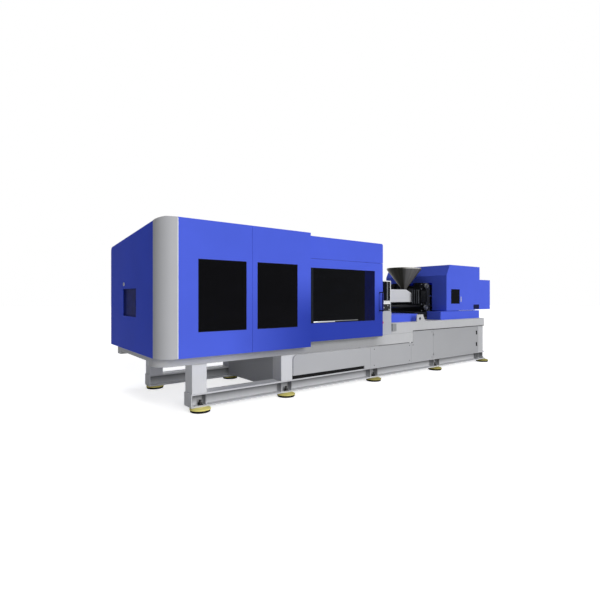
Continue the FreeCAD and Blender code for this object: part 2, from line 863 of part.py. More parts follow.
def partition_cover():
    x0 = post_stations[-1] + post_size
    edge = door_face - door_depth - 7
    outline = [(-edge, clamp_bed_top + running_gap), (edge, clamp_bed_top + running_gap),
               (edge, frame_tops[1]), (-edge, frame_tops[-1])]
    plate = prism_yz(outline, x0, x0 + sheet)
    half, low, high = partition_opening
    return plate.cut(block(x0, x0 + sheet, -half, half, low, high))


# ---- platens and tie bars --------------------------------------------------------------------
def corner_points(offset_y, offset_z):
    return [(sy * offset_y, axis_height + sz * offset_z) for sy in (-1, 1) for sz in (-1, 1)]


def platen_block(x0, x1, foot_bottom):
    low = axis_height - platen_half
    body = block(x0, x1, -platen_half, platen_half, low, axis_height + platen_half)
    upper = edges_along(body, Vector(1, 0, 0), lambda point: point.z > axis_height)
    body = body.makeFillet(platen_corner, upper)
    foot_top = low + platen_foot_height / 4
    feet = both_sides(block(x0, x1, platen_foot_inner, way_outer, foot_bottom, foot_top))
    return fuse(body, *feet)


def mould_bolt_holes(x0, x1):
    centres = corner_points(mould_bolt_side, mould_bolt_height)
    return [rod_x(mould_bolt_radius, x0, x1, y, z) for y, z in centres]


def tie_bar_bores(x0, x1):
    centres = corner_points(tie_bar_offset, tie_bar_offset)
    return [bore_x(tie_bar_radius, x0, x1, y, z) for y, z in centres]


def fixed_platen():
    body = platen_block(fixed_face, fixed_back, clamp_bed_top)
    seat = fixed_face + locating_bore_depth
    recess = block(seat, fixed_back, -nozzle_recess_half, nozzle_recess_half,
                   axis_height - nozzle_recess_half, axis_height + nozzle_recess_half)
    cuts = tie_bar_bores(fixed_face, fixed_back)
    cuts += mould_bolt_holes(fixed_face, fixed_face + mould_bolt_depth)
    cuts.append(rod_x(locating_bore_radius, fixed_face, seat, 0, axis_height))
    cuts.append(recess)
    return body.cut(Part.makeCompound(cuts))


def pin_lug(y0, y1, face, pin, height):
    """One clevis plate from a platen face to a toggle pin, with its eye."""
    outline = eye_points(pin, height, lug_eye_radius, -90 if pin > face else 90)
    outline += [(face, height + lug_eye_radius), (face, height - lug_eye_radius)][::1 if pin > face else -1]
    return prism_xz(outline, y0, y1)


def eye_points(x, z, radius, start):
    """Half an eye's outline, taken counter-clockwise from a start angle in degrees."""
    points = []
    for k in range(round_sides // 2 + 1):
        angle = math.radians(start + 360.0 * k / round_sides)
        points.append((x + radius * math.cos(angle), z + radius * math.sin(angle)))
    return points


def movable_platen():
    body = platen_block(movable_back, movable_face, way_top + running_gap)
    lugs = []
    bores = []
    near, far = platen_lug
    for height in (axis_height + toggle_pin_height, axis_height - toggle_pin_height):
        for y0, y1 in ((near, far), (-far, -near)):
            lugs.append(pin_lug(y0, y1, movable_back, platen_pin_station, height))
        bores.append(pin_y(hole_for(toggle_pin_radius), platen_pin_station, -far, far, height, 0.5))
    body = fuse(body, *lugs)
    bores += tie_bar_bores(movable_back, movable_face)
    for y, z in corner_points(mould_bolt_side, mould_bolt_height):
        bores.append(pin_x(mould_bolt_radius, movable_face - mould_bolt_depth, movable_face, y, z))
    bores.append(block(movable_back, movable_back + screw_pocket_depth,
                       -screw_pocket_half, screw_pocket_half,
                       axis_height - screw_pocket_half, axis_height + screw_pocket_half))
    for side in (-1, 1):
        bores.append(pin_x(hole_for(ejector_rod_radius), movable_back, movable_face, 0,
                           axis_height + side * ejector_rod_offset, 0.5))
    return body.cut(Part.makeCompound(bores))


def tail_platen():
    body = platen_block(tail_back, tail_front, way_top)
    lugs = []
    bores = []
    for height in (axis_height + toggle_pin_height, axis_height - toggle_pin_height):
        lugs.append(pin_lug(-tail_lug_half, tail_lug_half, tail_front, tail_pin_station, height))
        bores.append(pin_y(hole_for(toggle_pin_radius), tail_pin_station, -tail_lug_half, tail_lug_half,
                           height, 0.5))
    guide_end = guide_bar_end + guide_plate
    plate = block(guide_bar_end, guide_end, -crosshead_half_width, crosshead_half_width,
                  axis_height - 2 * guide_bar_half, axis_height + 2 * guide_bar_half)
    guides = []
    for side in (-1, 1):
        guides.append(guide_bar_shape(side, tail_front, guide_bar_end, 0))
    body = fuse(body, plate, *(lugs + guides))
    bores += tie_bar_bores(tail_back, tail_front)
    bores.append(rod_x(clamp_screw_radius + fit_gap, tail_back, tail_front, 0, axis_height))
    bores.append(block(guide_bar_end, guide_end, -clamp_screw_radius - 4, clamp_screw_radius + 4,
                       axis_height - 2 * guide_bar_half, axis_height + 2 * guide_bar_half))
    return body.cut(Part.makeCompound(bores))


def tie_bars():
    """Four bars through all three platens, with a hexagonal nut behind each outer one."""
    bars = []
    for y, z in corner_points(tie_bar_offset, tie_bar_offset):
        bar = rod_x(tie_bar_radius, tail_back - tie_nut_width, fixed_back + tie_nut_width, y, z)
        nuts = [hexagon_x(tie_nut_across_flats, x0, x0 + tie_nut_width, y, z)
                for x0 in (tail_back - tie_nut_width, fixed_back)]
        bars.append(fuse(bar, *nuts))
    return bars


# ---- toggle ----------------------------------------------------------------------------------
def link_bar(x0, z0, r0, x1, z1, r1, y0, y1):
    """Link plate: two eyes joined by straight flanks."""
    heading = math.degrees(math.atan2(z1 - z0, x1 - x0))
    return prism_xz(eye_points(x1, z1, r1, heading - 90) + eye_points(x0, z0, r0, heading + 90), y0, y1)


def plate_pair(span, maker):
    """The same link plate on both sides of the centre plane."""
    plates = []
    for side in (-1, 1):
        y0, y1 = sorted((side * span[0], side * span[1]))
        plates.append(maker(y0, y1))
    return plates


def rear_link(up):
    """Rear toggle link: two plates joined by the tail pin; up is 1 above the axis, -1 below."""
    height = axis_height + up * toggle_pin_height
    knee_x = tail_pin_station + rear_link_length
    ear_x = tail_pin_station + ear_along
    ear_z = height - up * ear_inward

    def plate(y0, y1):
        bar = link_bar(tail_pin_station, height, link_eye_radius, knee_x, height, link_eye_radius, y0, y1)
        ear = link_bar(tail_pin_station + ear_along / 2, height, link_eye_radius - 8, ear_x, ear_z,
                       ear_radius, y0, y1)
        return fuse(bar, ear)

    near = rear_link_plates[0]
    pieces = plate_pair(rear_link_plates, plate)
    pieces.append(pin_y(toggle_pin_radius, tail_pin_station, -near, near, height))
    return fuse(*pieces)


def front_link(up):
    """Front toggle link: two plates with the knee pins, a tube between them and pins for the lugs."""
    height = axis_height + up * toggle_pin_height
    knee_x = tail_pin_station + rear_link_length

    def plate(y0, y1):
        return link_bar(knee_x, height, link_eye_radius, platen_pin_station, height, link_eye_radius,
                        y0, y1)

    pieces = plate_pair(front_link_plates, plate)
    for side in (-1, 1):
        y0, y1 = sorted((side * front_link_plates[1], side * platen_lug[1]))
        pieces.append(pin_y(toggle_pin_radius, platen_pin_station, y0, y1, height))
    near, far = front_link_plates
    inward, outward = knee_pin_proud
    pieces.append(pin_y(knee_pin_radius, platen_pin_station, -near, near, height))
    for side in (-1, 1):
        y0, y1 = sorted((side * (near - inward), side * (far + outward)))
        pieces.append(pin_y(knee_pin_radius, knee_x, y0, y1, height))
    return fuse(*pieces)


def guide_bar_shape(side, x0, x1, gap):
    """Square bar that the crosshead slides on, or with a gap the slot for it."""
    half = guide_bar_half + gap
    centre = side * guide_bar_offset
    return block(x0, x1, centre - half, centre + half, axis_height - half, axis_height + half)


def crosshead():
    x0 = cross_pin_station - crosshead_half_length
    x1 = cross_pin_station + crosshead_half_length
    body = block(x0, x1, -crosshead_half_width, crosshead_half_width,
                 axis_height - crosshead_half_height, axis_height + crosshead_half_height)
    body = body.makeChamfer(25, edges_along(body, Vector(0, 1, 0), lambda point: True))
    pins = [pin_y(cross_pin_radius, cross_pin_station, -cross_link_plates[1] - 2, cross_link_plates[1] + 2,
                  axis_height + up * cross_pin_height) for up in (-1, 1)]
    body = fuse(body, *pins)
    bores = [rod_x(clamp_screw_radius + fit_gap, x0, x1, 0, axis_height)]
    for side in (-1, 1):
        bores.append(guide_bar_shape(side, x0, x1, fit_gap))
    return body.cut(Part.makeCompound(bores))


def crosshead_link(up):
    """Pair of short plates from the crosshead to the ears of the rear toggle link."""
    near_z = axis_height + up * cross_pin_height
    ear_x = tail_pin_station + ear_along
    ear_z = axis_height + up * (toggle_pin_height - ear_inward)

    def plate(y0, y1):
        bar = link_bar(cross_pin_station, near_z, ear_radius, ear_x, ear_z, ear_radius, y0, y1)
        return bar.cut(pin_y(hole_for(cross_pin_radius), cross_pin_station, y0, y1, near_z, 0.5))

    return plate_pair(cross_link_plates, plate)


def clamp_screw():
    return rod_x(clamp_screw_radius, tail_back + running_gap, clamp_screw_end, 0, axis_height)


def square_motor(x0, x1, half, corner, y):
    body = block(x0, x1, y - half, y + half, axis_height - half, axis_height + half)
    return body.makeChamfer(corner, edges_along(body, Vector(1, 0, 0), lambda point: True))


def clamp_motor():
    x0 = tail_back - clamp_motor_length
    body = square_motor(x0, tail_back, clamp_motor_half, clamp_motor_corner, 0)
    cap = square_motor(x0 - 40, x0, clamp_motor_half - clamp_motor_corner, clamp_motor_corner, 0)
    return fuse(body, cap)


def ejector():
    """Ejector plate with a window round the screw, and two rods through the movable platen."""
    half_y, half_z = ejector_plate_half
    x0 = ejector_plate_station
    x1 = x0 + ejector_plate_thickness
    plate = block(x0, x1, -half_y, half_y, axis_height - half_z, axis_height + half_z)
    plate = plate.cut(block(x0, x1, -screw_pocket_half, screw_pocket_half,
                            axis_height - screw_pocket_half, axis_height + screw_pocket_half))
    rods = [pin_x(ejector_rod_radius, x1, movable_face - ejector_rod_recess, 0,
                  axis_height + side * ejector_rod_offset) for side in (-1, 1)]
    return fuse(plate, *rods)


# ---- injection unit --------------------------------------------------------------------------
def carriage_guides():
    rail = block(slide_rail_span[0], slide_rail_span[1], slide_rail_side - slide_rail_width / 2,
                 slide_rail_side + slide_rail_width / 2, table_top, table_top + slide_rail_height)
    rod_end = front_plate_span[1] + carriage_stroke + 20
    pull_rod = rod_x(pull_rod_radius, fixed_back, rod_end, pull_rod_side, carriage_axis_low)
    return both_sides(rail) + both_sides(pull_rod)


def carriage_base():
    rail_top_height = table_top + slide_rail_height + running_gap
    pieces = [block(base_span[0], base_span[1], -base_half_width, base_half_width, base_bottom, base_top)]
    low = slide_rail_side - guide_block_width / 2
    high = slide_rail_side + guide_block_width / 2
    for station in guide_block_stations:
        pieces += both_sides(block(station, station + guide_block_length, low, high,
                                   rail_top_height, base_bottom))
    low = plate_rail_side - plate_rail_width / 2
    high = plate_rail_side + plate_rail_width / 2
    pieces += both_sides(block(plate_rail_span[0], plate_rail_span[1], low, high,
                               base_top, base_top + plate_rail_height))
    return fuse(*pieces)


def hopper_touch(station):
    """Height at which the funnel's slope reaches a plane behind it."""
    rise = hopper_rim_height - hopper_band - hopper_bottom
    slope = rise / (hopper_rim_radius - hopper_foot_radius)
    return hopper_bottom + slope * (station - hopper_station - hopper_foot_radius)


def injection_front_plate():
    """Front housing: drive plate with its corner nuts and the feed block round the barrel."""
    x0, x1 = front_plate_span
    plate = block(x0, x1, -drive_plate_half, drive_plate_half, base_top, drive_plate_top)
    plate = plate.makeFillet(plate_corner, edges_along(plate, Vector(1, 0, 0),
                                                       lambda point: point.z > axis_height))
    pieces = [plate, block(hood_end, x0, -feed_block_half, feed_block_half, feed_block_bottom,
                           hopper_bottom)]
    for y, z in corner_points(pull_rod_side, boss_height):
        pieces.append(hexagon_x(boss_across_flats, x0 - boss_length, x0, y, z))
    cuts = [rod_x(barrel_radius + fit_gap, hood_end, x1, 0, axis_height),
            rod_z(throat_radius, hopper_station, 0, axis_height, hopper_bottom)]
    cuts.append(block(x0, x1, -feed_block_half, feed_block_half, hopper_touch(x0) - hopper_clearance,
                      drive_plate_top))
    for side in (-1, 1):
        cuts.append(bore_x(pull_rod_radius, x0 - boss_length, x1, side * pull_rod_side,
                           carriage_axis_low))
    return fuse(*pieces).cut(Part.makeCompound(cuts))


def injection_rear_plate():
    """Rear drive plate with the two injection motors and the arms that carry the cover."""
    x0, x1 = rear_plate_span
    pieces = [block(x0, x1, -drive_plate_half, drive_plate_half, base_top, drive_plate_top)]
    cuts = []
    for side in (-1, 1):
        pieces.append(square_motor(x1, x1 + injection_motor_length, injection_motor_half, motor_corner,
                                   side * ball_screw_side))
        pieces.append(sided(side, x0, x0 + cover_arm, drive_plate_half,
                            injection_cover_side - sheet - running_gap,
                            injection_cover_bottom + sheet, injection_cover_bottom + sheet + cover_arm))
        cuts.append(bore_x(ball_screw_radius, x0, ball_screw_end + running_gap,
                           side * ball_screw_side, axis_height))
    return fuse(*pieces).cut(Part.makeCompound(cuts))


def injection_screw(side):
    return rod_x(ball_screw_radius, front_plate_span[1] + running_gap, ball_screw_end,
                 side * ball_screw_side, axis_height)


def pressure_plate():
    """Plate that carries the screw, with the plasticising motor behind it."""
    x0 = pressure_plate_station
    x1 = x0 + pressure_plate_thickness
    low = base_top + plate_rail_height + running_gap
    notch_side = pull_rod_side - pull_rod_radius - rod_notch_gap
    notch_top = carriage_axis_low + pull_rod_radius + rod_notch_gap
    body = block(x0, x1, -pressure_plate_half, pressure_plate_half, low, pressure_plate_top)
    notch = block(x0, x1, notch_side, pressure_plate_half, low, notch_top)
    body = body.cut(Part.makeCompound(both_sides(notch)))
    motor = square_motor(x1, x1 + screw_motor_length, screw_motor_half, motor_corner, 0)
    cuts = []
    for side in (-1, 1):
        cuts.append(bore_x(ball_screw_radius, x0, x1, side * ball_screw_side, axis_height))
    return fuse(body, motor).cut(Part.makeCompound(cuts))


def barrel():
    """Barrel with its nozzle, bored through for the screw."""
    nozzle_end = barrel_start - nozzle_body
    outside = [rod_x(barrel_radius, barrel_start, front_plate_span[1], 0, axis_height),
               rod_x(nozzle_body_radius, nozzle_end, barrel_start, 0, axis_height),
               rod_x(nozzle_radius, nozzle_start, nozzle_end, 0, axis_height)]
    bore_start = screw_front - screw_tip - 10
    cuts = [rod_x(barrel_bore_radius, bore_start, front_plate_span[1], 0, axis_height),
            pin_x(nozzle_hole_radius, nozzle_start, bore_start, 0, axis_height),
            rod_z(throat_radius, hopper_station, 0, axis_height, axis_height + barrel_radius)]
    return fuse(*outside).cut(Part.makeCompound(cuts))


def heater_bands():
    bands = []
    outer = barrel_radius + heater_band_thickness
    for k in range(heater_band_count):
        x0 = heater_band_start + k * heater_band_pitch
        x1 = x0 + heater_band_width
        inner = hole_for(barrel_radius, band_sides)
        ring = prism_yz(ring_points(band_sides, outer, 0, axis_height), x0, x1)
        bands.append(ring.cut(prism_yz(ring_points(band_sides, inner, 0, axis_height), x0, x1)))
    return bands


def plasticising_screw():
    radius = barrel_bore_radius - fit_gap
    body = rod_x(radius, screw_front, pressure_plate_station, 0, axis_height)
    tip = rod_x(screw_tip_radius, screw_front - screw_tip, screw_front, 0, axis_height)
    return fuse(body, tip)


def barrel_cover():
    run, fall = hood_bevel

    def outline(inset):
        return [(hood_start + inset, hood_bottom), (hood_end - inset, hood_bottom),
                (hood_end - inset, hood_top - fall - inset / 2),
                (hood_end - run - inset / 2, hood_top - inset),
                (hood_start + inset, hood_top - inset)]

    shell = prism_xz(outline(0), -hood_half_width, hood_half_width)
    core = prism_xz(outline(sheet), -hood_half_width + sheet, hood_half_width - sheet)
    mouth_half = barrel_radius + heater_band_thickness + hood_mouth_gap
    left = block(hood_start, hood_start + sheet, -mouth_half, mouth_half, hood_bottom,
                 axis_height + mouth_half)
    rear_half = barrel_radius + hood_mouth_gap / 2
    right = block(hood_end - run, hood_end, -rear_half, rear_half, hood_bottom, axis_height + rear_half)
    return shell.cut(core).cut(Part.makeCompound([left, right]))


def hopper():
    """Bend-formed funnel with a short upright rim, open at the top and bottom."""
    knee = hopper_rim_height - hopper_band

    def cone(inset):
        levels = ((hopper_foot_radius - inset, hopper_bottom), (hopper_rim_radius - inset, knee),
                  (hopper_rim_radius - inset, hopper_rim_height))
        return funnel(hopper_sides, hopper_station, 0, levels)

    return cone(0).cut(cone(sheet))


# ---- injection covers ------------------------------------------------------------------------
def injection_cover():
    x0, x1 = injection_cover_span
    run, fall = injection_cover_bevel
    top = injection_cover_top

    def outline(inset):
        low = injection_cover_bottom - (1 if inset else 0)
        return [(x0 + inset, low), (x1 - inset, low), (x1 - inset, top - inset),
                (x0 + run + inset / 2, top - inset), (x0 + inset, top - fall - inset / 2)]

    shell = prism_xz(outline(0), -injection_cover_side, injection_cover_side)
    shell = shell.cut(prism_xz(outline(sheet), -injection_cover_side + sheet, injection_cover_side - sheet))
    half, high = injection_cover_opening
    low, motor_top = motor_cover_height
    mouth = block(x0, x0 + sheet, -half, half, injection_cover_bottom, high)
    passage = block(x1 - sheet, x1, -motor_cover_side + 20, motor_cover_side - 20, low + 20, motor_top - 20)
    left, right, bottom, ceiling = inspection_window
    window = block(left, right, -injection_cover_side, -injection_cover_side + sheet, bottom, ceiling)
    notch = block(corner_notch[0], x1, -injection_cover_side, -motor_cover_side - sheet,
                  injection_cover_bottom, corner_notch[1])
    return shell.cut(Part.makeCompound([mouth, passage, window, notch]))


def cover_window():
    return window_pane(-1, injection_cover_side, inspection_window)


def motor_cover():
    x0 = injection_cover_span[1]
    low, high = motor_cover_height
    shell = block(x0, machine_right_end, -motor_cover_side, motor_cover_side, low, high)
    core = block(x0, machine_right_end - sheet, -motor_cover_side + sheet, motor_cover_side - sheet,
                 low + sheet, high - sheet)
    return shell.cut(core)


def way_covers():
    x0, x1 = base_cover_span
    face = injection_cover_side
    inner = face - base_cover_depth
    skirt = block(x0, x1, -face, -inner, table_top, base_cover_top)
    skirt = skirt.cut(block(x0 + sheet, x1 - sheet, -face + sheet, -inner, table_top,
                            base_cover_top - sheet))
    end = block(x0, x0 + sheet, -inner, -base_half_width - 10, table_top, base_cover_top)
    skirt = fuse(skirt, end)
    a0, a1 = low_cover_span
    low_cover = block(a0, a1, -low_cover_side, low_cover_side, table_top, low_cover_top)
    low_cover = low_cover.cut(block(a0 + sheet, a1 - sheet, -low_cover_side + sheet, low_cover_side - sheet,
                                    table_top, low_cover_top - sheet))
    return both_sides(skirt) + [low_cover]


# ---- operator panel --------------------------------------------------------------------------
def control_panel():
    x0 = pedestal_start
    x1 = pedestal_end
    pedestal = block(x0, x1, -bed_face, -bed_face + pedestal_depth, clamp_bed_top, pedestal_top)
    hole = stop_stem_half + fit_gap
    pedestal = pedestal.cut(block(stop_station - hole, stop_station + hole, -bed_face,
                                  -bed_face + stop_stem + stop_travel_gap, stop_height - hole,
                                  stop_height + hole))
    head = block(x0, panel_end, -bed_face, -bed_face + panel_depth, pedestal_top, panel_head_top)
    screen = block(x0 + screen_margin, panel_end - screen_margin, -bed_face, -bed_face + screen_recess,
                   screen_bottom, panel_head_top - screen_margin)
    keys = block(x0 + screen_margin, panel_end - screen_margin, -bed_face, -bed_face + keypad_recess,
                 keypad_height[0], keypad_height[1])
    head = head.cut(Part.makeCompound([screen, keys]))
    socket_start = table_start + pedestal_gap
    socket = block(socket_start, socket_start + socket_width, -bed_face - socket_proud, -bed_face,
                   socket_height[0], socket_height[1])
    return [fuse(pedestal, head), socket]


def control_screen():
    gap = running_gap
    back = -bed_face + screen_recess
    return block(pedestal_start + screen_margin + gap, panel_end - screen_margin - gap,
                 back - screen_thickness, back, screen_bottom + gap, panel_head_top - screen_margin - gap)


def emergency_stop():
    front = -bed_face - stop_travel_gap
    outline = ring_points(band_sides, stop_radius, stop_station, stop_height)
    head = prism_xz(outline, front - stop_head, front)
    stem = block(stop_station - stop_stem_half, stop_station + stop_stem_half, front, -bed_face + stop_stem,
                 stop_height - stop_stem_half, stop_height + stop_stem_half)
    return fuse(head, stem)


# ---- write every node ------------------------------------------------------------------------
save("base_beams", both_sides(base_beam()))
save("bed_legs", bed_legs())
save("levelling_pads", levelling_pads())
save("levelling_caps", levelling_caps())
save("clamp_bed", [clamp_bed()])
save("injection_bed", [injection_bed()])
save("side_panels", side_panels())
save("cabinet_door", [cabinet_door()])
save("cabinet_latch_upper", [cabinet_latch(latch_heights[0])])
save("cabinet_latch_lower", [cabinet_latch(latch_heights[1])])
save("cover_frame", cover_frame())
save("end_cover", [end_cover()])
save("corner_pillar", [corner_pillar()])
save("front_cover_left", [clamp_cover(-1, pillar_radius, front_cover_joint - seam / 2, cover_top,
                                      window_opening(window_spans[0]))])
save("front_cover_right", [clamp_cover(-1, front_cover_joint + seam / 2, clamp_cover_end, cover_top,
                                       window_opening(window_spans[1]))])
save("front_windows", [window_pane(-1, cover_face, window_opening(span)) for span in window_spans])
save("front_header", [header(-1)])
save("front_door", [door(-1, False)])
save("front_door_window", [window_pane(-1, door_face, door_window)])
save("front_door_handle", [door_handle(-1)])
save("rear_covers", rear_covers())
save("rear_door", [door(1, True)])
save("rear_door_window", [window_pane(1, door_face, door_window)])
save("roof_cover", [roof_cover()])
save("partition_cover", [partition_cover()])
save("fixed_platen", [fixed_platen()])
save("movable_platen", [movable_platen()])
save("tail_platen", [tail_platen()])
save("tie_bars", tie_bars())
save("upper_rear_link", [rear_link(1)])
save("lower_rear_link", [rear_link(-1)])
save("upper_front_link", [front_link(1)])
save("lower_front_link", [front_link(-1)])
save("crosshead", [crosshead()])
save("upper_crosshead_link", crosshead_link(1))
save("lower_crosshead_link", crosshead_link(-1))
save("clamp_screw", [clamp_screw()])
save("clamp_motor", [clamp_motor()])
save("ejector", [ejector()])
save("carriage_guides", carriage_guides())
save("carriage_base", [carriage_base()])
save("injection_front_plate", [injection_front_plate()])
save("injection_rear_plate", [injection_rear_plate()])
save("injection_screw_front", [injection_screw(-1)])
save("injection_screw_rear", [injection_screw(1)])
save("pressure_plate", [pressure_plate()])
save("barrel", [barrel()])
save("heater_bands", heater_bands())
save("plasticising_screw", [plasticising_screw()])
save("barrel_cover", [barrel_cover()])
save("hopper", [hopper()])
save("injection_cover", [injection_cover()])
save("cover_window", [cover_window()])
save("motor_cover", [motor_cover()])
save("way_covers", way_covers())
save("control_panel", control_panel())
save("control_screen", [control_screen()])
save("emergency_stop", [emergency_stop()])
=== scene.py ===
"""Looks of the injection moulding machine: materials, small parts, light and camera.

Stations are millimetres from the clamp end, as in the part's source. Everything else is in metres
in the row frame: Y runs from the operator's side (negative) to the back, Z up from the floor.
"""

import math

import bmesh
import bpy
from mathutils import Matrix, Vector


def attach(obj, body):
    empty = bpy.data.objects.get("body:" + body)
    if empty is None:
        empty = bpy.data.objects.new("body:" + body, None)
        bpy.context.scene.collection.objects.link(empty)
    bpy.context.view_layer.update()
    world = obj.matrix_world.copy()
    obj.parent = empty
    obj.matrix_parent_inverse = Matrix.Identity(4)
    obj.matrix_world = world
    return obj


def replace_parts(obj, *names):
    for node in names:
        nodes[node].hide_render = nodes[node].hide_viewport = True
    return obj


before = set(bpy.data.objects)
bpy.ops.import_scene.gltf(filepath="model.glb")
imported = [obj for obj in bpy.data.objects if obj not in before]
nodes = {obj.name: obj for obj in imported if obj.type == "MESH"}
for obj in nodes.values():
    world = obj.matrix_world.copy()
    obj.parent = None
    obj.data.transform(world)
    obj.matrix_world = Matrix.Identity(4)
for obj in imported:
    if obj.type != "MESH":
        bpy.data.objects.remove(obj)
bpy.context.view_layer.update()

MIDDLE = 3.7885          # station of the row frame's origin, in metres from the clamp end
AXIS = 1.345             # height of the machine's axis


def st(mm):
    """Row-frame X of a station given in millimetres."""
    return mm / 1000 - MIDDLE


# ---- shader helpers -------------------------------------------------------------------------
MIX_A, MIX_B, MIX_RESULT = 6, 7, 2       # colour sockets of the Mix node
BLACK = (0, 0, 0, 1)
WHITE = (1, 1, 1, 1)
PEEL_HEIGHT = 0.0006                     # orange peel on paint
GRAIN_HEIGHT = 0.0004                    # fine grain on metal and plastic


def rgba(rgb, factor=1.0):
    """Colour given as 0-255 screen values, times a factor, as the shader wants it."""
    out = []
    for value in rgb:
        c = min(255, value * factor) / 255
        out.append(c / 12.92 if c <= 0.04045 else ((c + 0.055) / 1.055) ** 2.4)
    return (*out, 1.0)


def base_material(name):
    mat = bpy.data.materials.new(name)
    mat.use_nodes = True
    tree = mat.node_tree
    return mat, tree, tree.nodes["Principled BSDF"]


def feed(tree, node, inputs):
    """Links each named input to a socket, or sets its own value."""
    for key, source in inputs.items():
        if isinstance(source, bpy.types.NodeSocket):
            tree.links.new(source, node.inputs[key])
        else:
            node.inputs[key].default_value = source


def add_node(tree, kind, inputs):
    node = tree.nodes.new(kind)
    feed(tree, node, inputs)
    return node


def object_coords(tree, scale=(1, 1, 1)):
    coord = tree.nodes.new("ShaderNodeTexCoord")
    inputs = {"Vector": coord.outputs["Object"], "Scale": scale}
    return add_node(tree, "ShaderNodeMapping", inputs).outputs["Vector"]


def separate(tree, vector):
    return add_node(tree, "ShaderNodeSeparateXYZ", {"Vector": vector}).outputs


def noise(tree, vector, scale, detail=4.0, rough=0.55):
    inputs = {"Vector": vector, "Scale": scale, "Detail": detail, "Roughness": rough}
    return add_node(tree, "ShaderNodeTexNoise", inputs).outputs["Fac"]


def ramp(tree, fac, stops):
    """Colour ramp through (position, colour) stops."""
    node = add_node(tree, "ShaderNodeValToRGB", {"Fac": fac})
    elements = node.color_ramp.elements
    elements[0].position, elements[0].color = stops[0]
    elements[1].position, elements[1].color = stops[-1]
    for position, color in stops[1:-1]:
        elements.new(position).color = color
    return node.outputs["Color"]


def two_tone(tree, fac, rgb, dark, light, edge=0.3):
    """Ramp from a darker to a lighter tone of one colour."""
    return ramp(tree, fac, [(edge, rgba(rgb, dark)), (1 - edge, rgba(rgb, light))])


def span(tree, fac, low, high):
    """Maps 0-1 to low-high."""
    inputs = {"Value": fac, "To Min": low, "To Max": high}
    return add_node(tree, "ShaderNodeMapRange", inputs).outputs["Result"]


def share(tree, value, low, high, interpolation="LINEAR"):
    """Maps low-high to 0-1."""
    node = add_node(tree, "ShaderNodeMapRange", {"Value": value, "From Min": low, "From Max": high})
    node.interpolation_type = interpolation
    return node.outputs["Result"]


def calculate(tree, operation, first, second):
    """Math node; each operand is a socket or a number."""
    node = add_node(tree, "ShaderNodeMath", {0: first, 1: second})
    node.operation = operation
    return node.outputs[0]


def mix_colours(tree, factor, first, second, blend="MIX"):
    node = tree.nodes.new("ShaderNodeMix")
    node.data_type = "RGBA"
    node.blend_type = blend
    feed(tree, node, {"Factor": factor, MIX_A: first, MIX_B: second})
    return node.outputs[MIX_RESULT]


def add_bump(tree, bsdf, height, strength, distance=GRAIN_HEIGHT):
    inputs = {"Height": height, "Strength": strength, "Distance": distance}
    bump = add_node(tree, "ShaderNodeBump", inputs)
    feed(tree, bsdf, {"Normal": bump.outputs["Normal"]})


def painted_light_falloff(tree, colour, stations, heights, amount):
    """Painted light and shade: multiplies a colour by amount, not at the first station or height,
    fully at the second.
    """
    axes = separate(tree, object_coords(tree))
    factor = share(tree, axes["X"], *map(st, stations), "SMOOTHSTEP")
    if heights:
        factor = calculate(tree, "MULTIPLY", factor, share(tree, axes["Z"], *heights, "SMOOTHSTEP"))
    return mix_colours(tree, factor, colour, (*amount, 1), "MULTIPLY")


# ---- kinds of material ----------------------------------------------------------------------
def paint(name, rgb, roughness, variation, peel=0.06, grime=0.0, specular=0.04, painted_shade=None):
    """Sprayed paint: faint blotches, orange peel, and runs of grime drawn out downwards; where
    given, painted shade that darkens it across stations and heights.
    """
    mat, tree, bsdf = base_material(name)
    vector = object_coords(tree)
    blotch = noise(tree, vector, scale=1.3, detail=5.0)
    colour = two_tone(tree, blotch, rgb, 1 - variation, 1 + variation, edge=0.25)
    if grime:
        streak = noise(tree, object_coords(tree, (9, 9, 1.2)), scale=2.4, detail=6.0, rough=0.65)
        dirt = ramp(tree, streak, [(0.42, BLACK), (0.78, WHITE)])
        level = calculate(tree, "MULTIPLY", dirt, grime)
        colour = mix_colours(tree, level, colour, rgba(rgb, 0.55))
    # painted shade: the colour darkened from one station and height to another
    if painted_shade:
        colour = painted_light_falloff(tree, colour, *painted_shade)
    fine = noise(tree, vector, scale=38.0, detail=3.0)
    feed(tree, bsdf, {"Base Color": colour, "Specular IOR Level": specular,
                      "Roughness": span(tree, fine, roughness - 0.06, roughness + 0.06)})
    orange_peel = noise(tree, vector, scale=420.0, detail=2.0)
    add_bump(tree, bsdf, orange_peel, peel, PEEL_HEIGHT)
    return mat


def metal(name, rgb, roughness, grain, scale, variation=0.08):
    """Machined or rolled metal with its grain drawn out along one direction."""
    mat, tree, bsdf = base_material(name)
    lines = noise(tree, object_coords(tree, grain), scale, detail=5.0, rough=0.6)
    cloud = noise(tree, object_coords(tree), scale=3.1)
    mean = calculate(tree, "MULTIPLY", calculate(tree, "ADD", lines, cloud), 0.5)
    feed(tree, bsdf, {"Base Color": two_tone(tree, mean, rgb, 1 - variation, 1 + variation),
                      "Metallic": 1.0,
                      "Roughness": span(tree, lines, roughness - 0.08, roughness + 0.1)})
    add_bump(tree, bsdf, lines, strength=0.05)
    return mat


def plastic(name, rgb, roughness, grain=520.0, depth=0.1, specular=0.4):
    """Moulded plastic or rubber with a fine leathery grain."""
    mat, tree, bsdf = base_material(name)
    vector = object_coords(tree)
    leather = add_node(tree, "ShaderNodeTexVoronoi", {"Vector": vector, "Scale": grain})
    cloud = noise(tree, vector, scale=9.0)
    feed(tree, bsdf, {"Base Color": two_tone(tree, cloud, rgb, dark=0.9, light=1.08),
                      "Specular IOR Level": specular,
                      "Roughness": span(tree, cloud, roughness - 0.06, roughness + 0.08)})
    add_bump(tree, bsdf, leather.outputs["Distance"], depth)
    return mat


